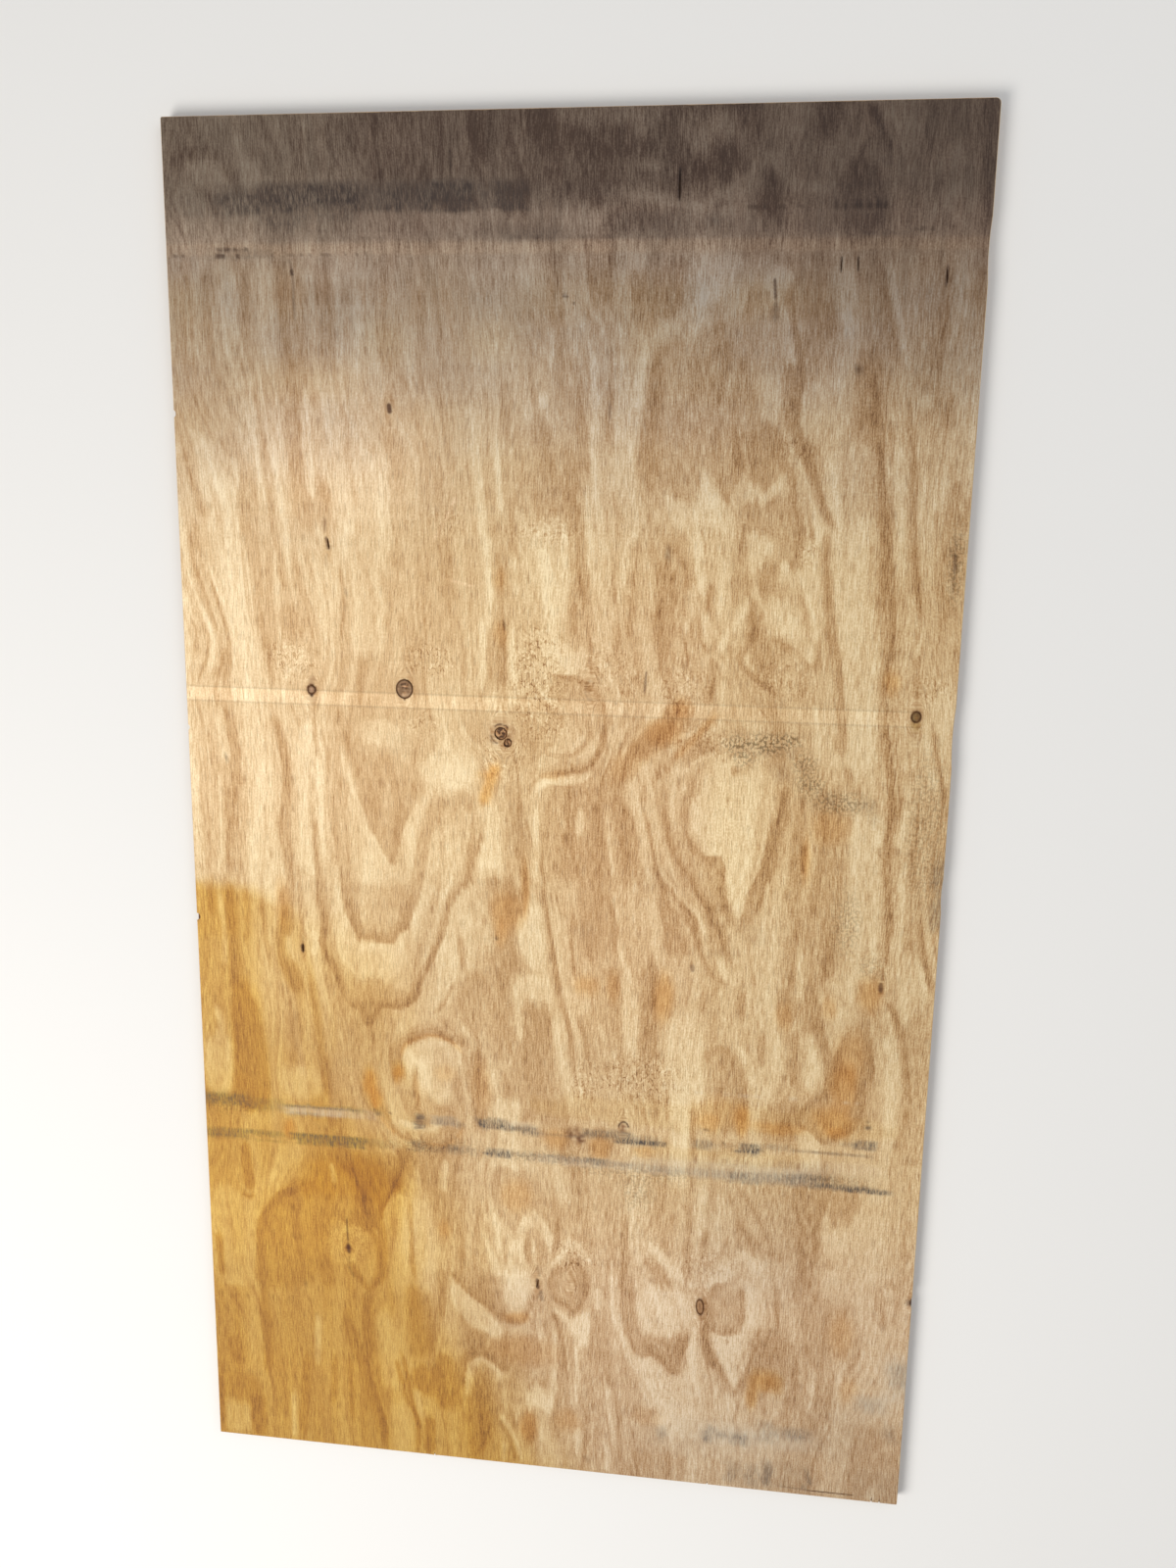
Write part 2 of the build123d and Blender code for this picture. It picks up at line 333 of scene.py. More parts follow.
    (0.14, 9, -76, -316, -46, -314, -44, -342, -78, -344),
    (0.70, 9, -12, -352, 16, -346, 24, -366, 10, -382, -6, -374),
    (0.74, 9, 46, -352, 78, -356, 76, -372, 60, -392, 46, -378),
    (0.12, 12, 150, -300, 172, -300, 174, -380, 168, -420, 152, -400),
    (0.12, 12, 310, -322, 336, -326, 334, -372, 312, -380),
    (0.60, 10, 318, -320, 320, -298, 332, -280, 352, -272, 380, -290, 380, -312, 364, -330,
     342, -330),
    (0.60, 12, 262, -298, 304, -298, 312, -316, 296, -346, 262, -340),
    # near left
    (0.72, 14, -292, -398, -262, -402, -230, -406, -186, -394, -176, -408, -190, -432, -200, -452,
     -216, -460, -230, -474, -230, -506, -250, -508, -260, -480, -262, -448, -282, -430),
    (0.22, 14, -455, -470, -400, -474, -360, -440, -330, -410, -350, -400, -392, -470, -398, -520,
     -398, -600, -452, -600),
    (0.62, 14, -386, -500, -366, -466, -345, -450, -316, -446, -298, -470, -302, -540, -330, -600,
     -396, -600, -388, -540),
    (0.32, 14, -294, -512, -272, -506, -250, -516, -250, -556, -270, -564, -292, -552),
    (0.22, 14, -222, -450, -196, -458, -160, -470, -150, -540, -160, -600, -206, -600, -222, -520),
    (0.22, 14, -232, -634, -206, -640, -202, -700, -206, -742, -224, -736, -232, -690),
    (0.22, 12, -212, -770, -190, -766, -184, -800, -184, -838, -212, -838, -216, -800),
    (0.62, 18, -190, -590, -158, -600, -152, -660, -164, -690, -184, -700, -192, -650),
    (0.78, 12, -184, -712, -150, -706, -148, -740, -180, -742),
    (0.72, 14, -152, -690, -122, -700, -118, -756, -150, -762),
    (0.70, 8, -442, -690, -426, -690, -419, -718, -428, -731, -438, -715),
    (0.16, 12, -446, -786, -414, -788, -412, -832, -446, -832),
    (0.60, 16, -452, -748, -404, -750, -400, -786, -452, -784),
    # near the middle: scallops, rings and the two winged knots
    (0.08, 9, -126, -574, -110, -580, -96, -600, -80, -616, -66, -630, -60, -642, -76, -650,
     -100, -640, -120, -622, -130, -600),
    (0.62, 9, -104, -570, -62, -560, -60, -596, -46, -622, -64, -624, -82, -606, -98, -592),
    (0.06, 9, -62, -556, -28, -556, -28, -590, -42, -604, -58, -594),
    (0.62, 10, -104, -644, -62, -652, -20, -640, -6, -660, -10, -700, -54, -702, -66, -697,
     -76, -686, -90, -678, -100, -672),
    (0.10, 9, -114, -700, -100, -682, -84, -681, -72, -690, -62, -702, -72, -716, -90, -706,
     -100, -740, -114, -740),
    (0.70, 12, -98, -700, -74, -696, -66, -740, -76, -800, -100, -838, -108, -780),
    (0.62, 14, -52, -704, 0, -700, -2, -716, -28, -722, -30, -752, -50, -746),
    (0.10, 9, -26, -722, -6, -720, 2, -750, -18, -756, -28, -744),
    (0.70, 10, -36, -758, -18, -756, -16, -800, -32, -804),
    (0.60, 12, 8, -748, 42, -750, 42, -784, 10, -786),
    (0.08, 8, 6, -602, 30, -613, 50, -599, 56, -622, 50, -646, 38, -650, 25, -630, 14, -614),
    (0.64, 9, 60, -622, 72, -616, 82, -660, 86, -692, 70, -702, 60, -690),
    (0.66, 14, -72, -412, -40, -414, -14, -424, -4, -446, 2, -472, 6, -504, -14, -482, -22, -468,
     -36, -480, -46, -504, -62, -482, -76, -450),
    (0.60, 8, -32, -494, -18, -490, -6, -508, -8, -540, -22, -548, -34, -526),
    (0.52, 10, 6, -550, 26, -534, 48, -552, 46, -590, 30, -603, 8, -592),
    (0.10, 12, 6, -398, 24, -402, 24, -450, 8, -446),
    (0.08, 10, 112, -556, 170, -560, 182, -590, 178, -620, 160, -626, 120, -620),
    (0.42, 16, 96, -600, 120, -622, 168, -626, 178, -618, 172, -650, 164, -676, 158, -666,
     136, -654, 114, -656, 102, -634),
    (0.08, 9, 112, -664, 140, -660, 156, -676, 168, -688, 182, -650, 190, -616, 190, -760,
     146, -760, 116, -696),
    (0.56, 10, 208, -562, 222, -549, 242, -552, 249, -570, 246, -600, 236, -612, 214, -608),
    (0.10, 9, 210, -618, 246, -616, 248, -636, 224, -644, 208, -634),
    (0.10, 9, 252, -516, 272, -520, 272, -600, 256, -600),
    (0.56, 14, 238, -402, 344, -404, 344, -440, 330, -500, 240, -496, 234, -450),
    (0.66, 8, 350, -402, 384, -406, 380, -430, 370, -449, 354, -444),
    (0.14, 12, 346, -456, 374, -456, 372, -488, 348, -490),
    (0.14, 12, 346, -512, 366, -510, 366, -540, 348, -542),
    (0.56, 12, 266, -612, 298, -606, 302, -652, 262, -656),
    (0.56, 8, 260, -668, 276, -660, 300, -664, 301, -688, 281, -696, 272, -712, 261, -722,
     257, -700),
    (0.56, 16, 352, -572, 390, -572, 392, -640, 354, -640),
    (0.52, 18, 400, -742, 457, -742, 457, -838, 400, -838),
]
LINES = [  # tone, width, points
    # far left
    (0.72, 14, -452, 782, -430, 800, -400, 804, -378, 786, -370, 756),
    (0.90, 12, -140, 838, -138, 770),
    (0.14, 12, 48, 760, 84, 750, 122, 742, 152, 738, 175, 748, 202, 766, 214, 780, 232, 782,
     246, 764, 262, 756, 294, 758),
    (0.20, 10, 146, 720, 166, 728, 190, 738), (0.24, 9, 296, 772, 306, 792, 322, 800),
    (0.24, 7, 63, 786, 110, 778, 124, 770), (0.96, 12, 324, 838, 334, 812, 352, 784),
    (0.3, 8, -345, 728, -352, 706), (0.72, 3, -295, 830, -295, 770),
    (0.70, 3, -446, 745, -434, 705), (0.70, 3, -400, 745, -396, 730),
    (0.74, 9, -260, 838, -262, 800), (0.66, 14, -440, 690, -441, 620, -443, 560),
    (0.66, 13, -412, 690, -413, 620, -410, 566), (0.68, 15, -364, 690, -366, 620, -360, 560),
    (0.66, 12, -320, 690, -321, 640, -318, 570), (0.66, 14, -276, 690, -275, 620, -277, 560),
    (0.64, 9, -205, 690, -206, 600, -200, 560), (0.14, 12, -390, 700, -390, 620, -388, 575),
    (0.14, 14, -340, 700, -341, 620, -338, 560), (0.12, 18, -232, 700, -232, 620, -236, 550),
    (0.14, 11, -170, 620, -174, 585, -168, 560), (0.62, 6, -300, 640, -298, 560, -292, 480),
    (0.20, 8, -298, 560, -296, 460, -292, 420),
    (0.74, 9, -450, 492, -443, 458, -437, 432, -428, 408, -428, 396),
    (0.70, 12, -440, 398, -438, 356),
    (0.78, 5, -446, 390, -443, 352, -437, 328, -428, 300, -420, 272),
    (0.70, 5, -426, 335, -415, 305, -408, 285, -402, 262),
    (0.10, 7, -426, 350, -415, 322, -404, 296), (0.12, 6, -440, 300, -432, 284, -424, 262),
    (0.12, 7, -365, 552, -362, 500, -356, 460, -350, 430, -345, 402),
    (0.76, 5, -361, 575, -355, 520, -350, 480, -348, 445),
    (0.74, 6, -345, 440, -342, 400, -338, 370, -335, 345, -331, 312),
    (0.12, 11, -336, 495, -332, 450, -326, 400, -322, 330),
    (0.58, 13, -312, 500, -308, 440, -304, 390),
    (0.68, 20, -376, 470, -372, 400, -362, 350, -354, 300, -348, 262, -347, 210),
    (0.14, 5, -272, 348, -270, 300, -268, 262), (0.74, 5, -260, 352, -258, 300, -262, 258),
    (0.12, 7, -290, 360, -284, 310, -282, 250), (0.60, 5, -190, 402, -184, 370, -182, 335),
    (0.70, 12, -188, 292, -184, 262, -182, 232), (0.62, 6, -212, 345, -208, 320),
    (0.72, 4, -442, 292, -430, 264, -428, 244, -433, 224, -441, 208),
    (0.74, 5, -426, 292, -413, 264, -410, 240, -415, 220, -426, 202),
    (0.10, 5, -434, 290, -421, 262, -419, 240, -425, 220),
    (0.70, 8, -406, 278, -402, 250, -405, 225, -410, 205),
    (0.08, 5, -416, 288, -408, 262, -406, 244), (0.72, 4, -448, 280, -442, 262, -444, 232),
    (0.80, 11, -412, 182, -403, 150, -398, 120, -400, 90, -402, 50, -407, 20, -410, -20, -410, -44),
    (0.08, 7, -416, 178, -412, 130, -409, 100), (0.60, 5, -432, 140, -429, 90, -430, 60),
    (0.62, 6, -437, 60, -435, 20, -436, -44), (0.10, 5, -420, 90, -420, 30, -422, -44),
    (0.50, 3, -377, 178, -374, 145), (0.52, 4, -382, 90, -380, 28), (0.50, 3, -390, 30, -390, -44),
    (0.82, 14, -350, 180, -343, 148, -335, 118, -332, 90, -334, 60, -339, 30, -336, 0, -333, -25,
     -332, -60),
    (0.70, 9, -364, 292, -357, 262, -350, 230, -347, 196), (0.50, 3, -326, 140, -326, 70, -322, 10),
    (0.72, 3, -326, 202, -326, 182, -320, 166, -311, 157, -305, 166, -300, 182),
    (0.74, 6, -287, 152, -282, 120, -279, 95), (0.70, 4, -300, 168, -296, 140, -292, 110),
    (0.10, 6, -296, 120, -292, 80, -290, 30, -286, -20),
    # the nested V and U figure
    (0.76, 12, -266, 175, -256, 140, -248, 110, -243, 85), (0.12, 8, -262, 130, -256, 96, -246, 62),
    (0.10, 14, -150, 86, -170, 52, -180, 20, -184, -20, -190, -40),
    (0.66, 7, -236, 240, -238, 205, -237, 178), (0.60, 5, -232, 176, -216, 165, -200, 172),
    (0.08, 12, -146, 40, -150, -10, -158, -46, -168, -72, -182, -108),
    (0.10, 9, -118, -22, -140, -60, -146, -96, -156, -124, -168, -150),
    (0.66, 12, -201, -246, -201, -270, -198, -300),
    (0.74, 7, -174, -277, -177, -302, -174, -320, -172, -340),
    (0.70, 6, -150, -206, -136, -186, -122, -160), (0.60, 6, -126, 60, -118, 74, -108, 80),
    (0.70, 10, -312, -160, -308, -190, -303, -215, -298, -250, -294, -290, -292, -332),
    (0.70, 5, -322, -20, -320, -60, -318, -114), (0.12, 12, -332, -104, -336, -124, -328, -146),
    (0.12, 9, -306, -104, -302, -122, -308, -140), (0.78, 16, -340, -46, -340, -90, -344, -118),
    (0.76, 18, -338, -148, -332, -172, -326, -190),
    (0.74, 15, -412, -46, -412, -100, -410, -160, -406, -200), (0.70, 10, -438, -50, -438, -92),
    (0.14, 9, -425, -60, -422, -120, -424, -160), (0.66, 8, -392, -50, -390, -90, -393, -130),
    (0.60, 6, -372, -52, -368, -110, -360, -160), (0.62, 9, -336, -190, -333, -240, -334, -290),
    (0.66, 10, -352, -100, -350, -140, -345, -160), (0.74, 6, -396, -170, -400, -210, -398, -260),
    (0.10, 11, -438, -214, -430, -240, -436, -262),
    # the middle, from the far part down
    (0.12, 9, -104, 545, -96, 490, -92, 420, -88, 380, -83, 340, -82, 300, -88, 262),
    (0.12, 6, -74, 500, -72, 440, -68, 405), (0.14, 6, -58, 486, -57, 420),
    (0.74, 4, -85, 560, -84, 480, -82, 418), (0.70, 8, -64, 560, -62, 520, -64, 498),
    (0.76, 4, -36, 565, -33, 535), (0.16, 14, -22, 542, -20, 522),
    (0.62, 11, 0, 640, -4, 600, 2, 560), (0.14, 7, -10, 612, -14, 560),
    (0.16, 10, 36, 600, 39, 500, 34, 400), (0.62, 10, 22, 570, 24, 500, 22, 430),
    (0.12, 9, 92, 600, 86, 545, 81, 500, 78, 470), (0.66, 9, 56, 560, 55, 520, 56, 480),
    (0.70, 8, 104, 600, 104, 540, 102, 500), (0.12, 11, -20, 368, -17, 332, -14, 296),
    (0.14, 6, 6, 398, 8, 350, 10, 310), (0.12, 8, 36, 398, 39, 350),
    (0.72, 5, 23, 352, 30, 310, 38, 262, 41, 224), (0.14, 8, 107, 352, 108, 300),
    (0.12, 6, 154, 332, 150, 300, 144, 262), (0.14, 6, 86, 396, 77, 366, 74, 326),
    (0.66, 7, 62, 440, 68, 400, 66, 360, 64, 300), (0.66, 7, 92, 400, 90, 350, 86, 300, 84, 262),
    (0.72, 10, -66, 350, -68, 322), (0.14, 9, -50, 360, -48, 320),
    (0.10, 9, -92, 292, -90, 240, -92, 206), (0.68, 16, -72, 292, -72, 240, -72, 206),
    (0.62, 4, -66, 290, -64, 250, -67, 210), (0.10, 8, -54, 284, -54, 240, -50, 205),
    (0.66, 6, 120, 320, 118, 280, 122, 240), (0.66, 6, 70, 290, 70, 250),
    (0.12, 4, 84, 262, 90, 226), (0.60, 3, 32, 222, 34, 212, 40, 206, 46, 212),
    (0.80, 3, -40, 74, -31, 90, -19, 103, 0, 106, 12, 110, 20, 113, 28, 111, 38, 117, 49, 130,
     55, 150, 58, 170, 56, 192, 52, 206),
    (0.10, 8, -31, 78, -16, 95, 4, 99, 25, 102, 46, 112),
    (0.76, 3, 0, 146, -15, 138, -25, 125, -36, 118),
    (0.78, 4, 102, 156, 92, 140, 85, 120, 79, 105, 73, 82, 70, 58),
    (0.12, 8, -22, 72, -25, 40, -25, 0, -24, -28), (0.60, 12, -46, 84, -46, 30, -44, -24),
    (0.76, 4, -18, 60, -18, 20, -16, -20), (0.74, 5, -6, 92, -10, 52, -12, 10),
    (0.12, 8, 30, 70, 28, 30), (0.72, 4, 51, 82, 53, 20, 58, -24),
    (0.14, 5, 62, 64, 66, 20, 72, -20), (0.70, 7, 82, 80, 86, 30, 92, -20),
    (0.74, 5, 106, 72, 113, 40, 120, 10, 130, -22, 137, -40),
    (0.12, 6, 118, 72, 125, 40, 135, 8, 146, -18),
    (0.76, 6, 132, 72, 136, 40, 142, 20, 152, 0, 160, -24), (0.66, 6, 100, 112, 106, 90, 104, 70),
    (0.12, 4, 96, 128, 104, 100),
    (0.78, 7, -16, 0, -12, -40, -9, -70, -5, -95, 0, -120, 4, -150, 10, -180, 18, -202, 23, -230,
     26, -262, 32, -294),
    (0.12, 6, 2, -56, 5, -100, 9, -142), (0.10, 8, 4, -198, 8, -230, 13, -262, 19, -292, 28, -318),
    (0.74, 5, 24, -60, 22, -110, 26, -150), (0.12, 8, 42, -124, 40, -146),
    (0.12, 9, 40, -162, 40, -190), (0.66, 7, 30, -196, 40, -230, 46, -262),
    (0.12, 7, 58, -204, 64, -230), (0.78, 5, 62, -32, 70, -60, 75, -90, 78, -118),
    (0.10, 8, 80, -98, 85, -120, 92, -138, 97, -152), (0.78, 8, -38, 2, -38, -40, -40, -72),
    (0.12, 7, -48, -160, -44, -200, -41, -238), (0.60, 10, -118, -100, -112, -150),
    (0.72, 5, 116, -200, 112, -246), (0.60, 8, 128, -210, 128, -244), (0.66, 8, 84, -250, 88, -294),
    (0.12, 9, -76, -276, -74, -302), (0.74, 9, -62, -280, -60, -312),
    (0.74, 7, 124, -20, 134, -42, 146, -56, 160, -62, 171, -80, 182, -104),
    (0.12, 6, 140, -22, 155, -38, 171, -56, 186, -86),
    # the pear's left side and the contours above and under it
    (0.12, 6, 196, -110, 206, -128, 222, -150), (0.72, 6, 268, 60, 262, 20, 252, -20, 240, -60),
    (0.12, 6, 256, -10, 252, -60, 250, -110),
    (0.12, 6, 138, 150, 156, 160, 178, 164, 190, 182, 195, 210, 192, 240),
    (0.70, 5, 128, 144, 146, 152, 166, 150, 186, 158), (0.14, 5, 150, 112, 166, 130, 186, 140),
    (0.74, 8, 180, 252, 182, 222, 176, 196), (0.66, 12, 150, 130, 168, 142, 196, 148),
    (0.14, 5, 196, 172, 230, 174), (0.70, 6, 205, 118, 222, 122, 236, 142),
    (0.68, 27, 150, 192, 134, 172, 112, 150, 92, 130), (0.64, 30, 96, 132, 78, 112, 62, 92, 52, 72),
    (0.70, 6, 198, 196, 182, 176, 158, 150, 146, 138, 134, 120, 112, 100),
    (0.66, 5, 96, 172, 84, 152, 70, 130, 58, 112),
    (0.74, 6, 302, 276, 299, 250, 291, 225, 280, 204), (0.74, 3, 262, 244, 262, 200),
    (0.74, 3, 273, 236, 271, 204), (0.74, 3, 284, 240, 282, 214), (0.12, 8, 292, 264, 292, 232),
    (0.72, 11, 310, 292, 319, 262, 325, 230, 328, 200, 331, 170, 331, 136),
    (0.12, 9, 300, 200, 306, 160, 308, 130), (0.70, 6, 284, 150, 290, 120),
    (0.60, 12, 336, 130, 344, 100),
    (0.78, 10, 345, 575, 350, 525, 356, 474, 362, 432, 366, 400, 370, 366, 376, 324, 380, 296,
     378, 256, 375, 222, 378, 190),
    (0.80, 10, 378, 190, 381, 165, 386, 138, 391, 110, 394, 80, 395, 46, 393, 16, 396, -24,
     398, -64, 398, -106),
    (0.72, 8, 384, 545, 388, 500, 395, 460, 397, 420, 401, 380, 405, 345, 411, 320, 417, 296),
    (0.12, 11, 376, 500, 380, 440, 384, 400, 388, 340), (0.12, 7, 404, 470, 405, 400, 408, 350),
    (0.72, 9, 440, 450, 438, 396), (0.12, 9, 426, 470, 424, 420),
    (0.10, 7, 454, 600, 454, 500, 454, 430), (0.76, 3, 365, 520, 368, 466),
    (0.70, 12, 440, 388, 442, 340), (0.66, 12, 440, 330, 446, 300), (0.68, 14, 428, 545, 427, 505),
    (0.70, 9, 414, 262, 412, 210), (0.72, 6, 434, 184, 440, 150, 447, 118, 452, 86),
    (0.74, 6, 425, 96, 424, 40, 426, -20), (0.12, 8, 408, 90, 408, 30),
    (0.72, 9, 404, 100, 402, 60), (0.76, 8, 296, 40, 296, -6), (0.74, 14, 270, 100, 268, 52),
    (0.12, 5, 282, -54, 283, -88), (0.66, 8, 296, -56, 293, -86), (0.10, 7, 298, -92, 300, -156),
    (0.72, 7, 292, -110, 288, -146), (0.74, 6, 432, -38, 438, -80, 445, -110, 453, -138),
    (0.12, 7, 410, 10, 412, -60, 408, -100),
    (0.76, 14, 312, -128, 318, -168, 326, -200, 336, -232, 341, -262, 336, -292),
    (0.12, 7, 356, -122, 360, -160), (0.76, 7, 399, -154, 410, -165, 417, -185, 422, -202),
    (0.62, 6, 420, -196, 432, -240, 440, -284), (0.72, 9, 228, -150, 230, -188),
    (0.12, 8, 206, -108, 212, -140), (0.66, 9, 186, -148, 184, -182),
    (0.12, 6, 222, -220, 240, -242, 250, -280), (0.66, 9, 258, -200, 256, -250),
    (0.12, 9, 276, -206, 280, -262), (0.64, 9, 296, -200, 296, -270),
    # upper right
    (0.14, 9, 80, 545, 100, 590, 128, 622, 150, 642), (0.12, 12, 116, 622, 112, 600),
    (0.72, 8, 250, 640, 262, 590, 268, 545), (0.12, 8, 240, 642, 254, 592, 258, 570),
    (0.12, 9, 352, 690, 372, 610, 384, 560), (0.72, 9, 340, 690, 362, 616, 372, 570),
    (0.70, 9, 188, 600, 184, 562, 176, 532), (0.22, 9, 193, 568, 187, 545, 178, 522),
    (0.28, 5, 150, 560, 154, 540, 162, 518), (0.66, 12, 160, 620, 150, 570, 156, 530),
    (0.66, 12, 290, 640, 300, 600), (0.12, 9, 300, 690, 310, 640, 318, 600),
    (0.68, 11, 410, 690, 412, 620, 408, 570), (0.14, 10, 430, 690, 434, 620),
    (0.72, 9, 450, 760, 452, 690, 448, 620), (0.76, 3, 266, 566, 267, 520),
    (0.74, 9, 262, 502, 272, 482, 280, 460), (0.72, 6, 262, 466, 262, 440),
    (0.72, 7, 254, 472, 262, 440, 270, 410, 278, 388),
    (0.76, 10, 272, 502, 283, 460, 292, 435, 301, 414, 313, 398),
    (0.12, 5, 266, 478, 278, 445, 286, 420, 292, 400, 298, 388),
    (0.12, 8, 298, 480, 305, 440, 311, 415, 319, 398),
    (0.74, 11, 306, 396, 301, 370, 308, 330, 314, 292, 321, 262),
    (0.12, 5, 299, 396, 292, 375, 287, 355, 292, 330, 300, 306, 306, 288),
    (0.66, 9, 276, 400, 272, 350), (0.70, 4, 275, 332, 284, 300, 292, 268),
    (0.12, 4, 282, 330, 293, 300, 301, 272), (0.12, 5, 226, 332, 220, 312, 209, 292, 204, 276),
    (0.12, 5, 226, 332, 232, 312, 246, 296), (0.76, 6, 221, 320, 224, 290, 221, 264),
    (0.66, 6, 205, 352, 205, 308), (0.12, 10, 221, 318, 210, 296, 198, 276, 184, 256),
    (0.10, 5, 224, 256, 222, 246, 232, 234), (0.14, 8, 157, 337, 156, 310, 149, 290, 143, 270),
    (0.14, 9, 168, 300, 172, 284, 170, 266), (0.12, 8, 157, 264, 156, 249),
    (0.74, 4, 141, 292, 147, 264, 150, 252, 147, 238),
    (0.74, 4, 163, 300, 166, 270, 176, 252, 188, 240, 194, 222),
    (0.12, 9, 194, 360, 190, 330, 188, 300), (0.12, 9, 158, 400, 162, 350, 168, 310),
    (0.72, 9, 178, 340, 172, 300), (0.70, 7, 212, 400, 206, 360), (0.12, 6, 190, 250, 198, 230),
    (0.12, 4, 285, 384, 285, 366),
    # near part
    (0.76, 6, -222, -328, -215, -345, -208, -360, -200, -371, -190, -376, -181, -370),
    (0.10, 10, -200, -352, -180, -360, -160, -364, -146, -356), (0.76, 14, -286, -352, -284, -376),
    (0.76, 12, -404, -398, -404, -440, -402, -468), (0.62, 6, -414, -470, -406, -478, -396, -474),
    (0.72, 14, -292, -272, -288, -330), (0.12, 7, -290, -418, -286, -452),
    (0.66, 12, -384, -640, -382, -680, -386, -740), (0.76, 20, -402, -770, -402, -838),
    (0.70, 9, -446, -530, -444, -600), (0.78, 6, -455, -750, -455, -838),
    (0.74, 10, -224, -500, -220, -540, -225, -590), (0.70, 16, -305, -550, -298, -600),
    (0.74, 14, -245, -608, -246, -650, -242, -700),
    (0.74, 5, -200, -688, -192, -720, -187, -750, -180, -780, -175, -810, -178, -838),
    (0.66, 5, -206, -700, -198, -734), (0.72, 9, -141, -560, -142, -600, -145, -636),
    (0.12, 7, -180, -738, -170, -790), (0.72, 14, -160, -780, -160, -838),
    (0.60, 7, -186, -460, -184, -520, -180, -580), (0.66, 9, -171, -400, -166, -428, -160, -448),
    (0.14, 9, -138, -404, -140, -450), (0.60, 8, -116, -440, -118, -520, -112, -560),
    (0.60, 7, -90, -460, -94, -520), (0.12, 7, -84, -508, -74, -540, -68, -566),
    (0.60, 8, -60, -500, -62, -550),
    (0.12, 8, -38, -540, -38, -500, -34, -480, -22, -468, -10, -478, -2, -498, 1, -524),
    (0.12, 5, -21, -506, -20, -540), (0.72, 4, -32, -502, -33, -520, -26, -540),
    (0.72, 4, -10, -500, -5, -522, -9, -546),
    (0.12, 8, -2, -548, 10, -530, 20, -514, 28, -504, 42, -520, 56, -540),
    (0.12, 10, 60, -566, 62, -600), (0.74, 8, 0, -606, 10, -620, 16, -642, 20, -666, 22, -704),
    (0.08, 7, 5, -622, 8, -660, 6, -700, 4, -740, 0, -764), (0.14, 5, -12, -606, -8, -640),
    (0.70, 4, -18, -602, -20, -640), (0.12, 7, 36, -640, 38, -700, 36, -740),
    (0.10, 9, 80, -520, 81, -560, 86, -602, 96, -632, 106, -660, 116, -684),
    (0.70, 11, 96, -460, 96, -530, 92, -580),
    (0.12, 13, 122, -498, 148, -518, 170, -540, 188, -554),
    (0.62, 8, 118, -520, 140, -538, 164, -560),
    (0.12, 13, 204, -552, 224, -531, 244, -516, 264, -508),
    (0.12, 6, 214, -534, 234, -511, 250, -500), (0.60, 5, 208, -520, 220, -500, 226, -480),
    (0.74, 12, 200, -600, 206, -640, 216, -668), (0.10, 7, 187, -606, 184, -650),
    (0.12, 6, 216, -640, 230, -660, 241, -692),
    (0.70, 8, 177, -300, 177, -400, 177, -500, 178, -560), (0.12, 10, 192, -408, 192, -484),
    (0.72, 9, 198, -470, 196, -512), (0.14, 6, 210, -420, 212, -460),
    (0.66, 6, 206, -402, 208, -450), (0.60, 9, 322, -470, 322, -540),
    (0.62, 7, 290, -540, 294, -600), (0.12, 8, 312, -560, 316, -620),
    (0.62, 5, 412, -562, 417, -530, 440, -524), (0.66, 8, 420, -540, 424, -590),
    (0.12, 13, 340, -650, 342, -690, 338, -716), (0.72, 3, 348, -640, 347, -702, 338, -722),
    (0.60, 9, 320, -640, 322, -720), (0.62, 9, 366, -650, 362, -730),
    (0.12, 9, 232, -700, 234, -740), (0.72, 5, 84, -700, 92, -740, 96, -790),
    (0.12, 6, 76, -700, 82, -750, 92, -800), (0.12, 8, 78, -790, 82, -838),
    (0.62, 6, 66, -760, 64, -820), (0.12, 9, 40, -770, 40, -820), (0.12, 8, -9, -770, -8, -838),
    (0.66, 8, 22, -790, 24, -838), (0.76, 5, -76, -764, -62, -784, -50, -804, -44, -838),
    (0.12, 5, -66, -764, -52, -784, -42, -806, -34, -838), (0.70, 9, -52, -752, -44, -790),
    (0.14, 6, -60, -806, -60, -838), (0.12, 10, 192, -790, 194, -838),
    (0.62, 12, 160, -790, 164, -838), (0.60, 12, 110, -744, 150, -742),
    (0.60, 9, 132, -790, 130, -838), (0.12, 12, 422, -838, 426, -816),
    (0.66, 12, -330, -700, -334, -760, -338, -838), (0.60, 9, -290, -700, -294, -780),
    (0.14, 9, -312, -640, -316, -720), (0.14, 8, -350, -760, -350, -838),
    (0.60, 8, -270, -700, -268, -800),
]
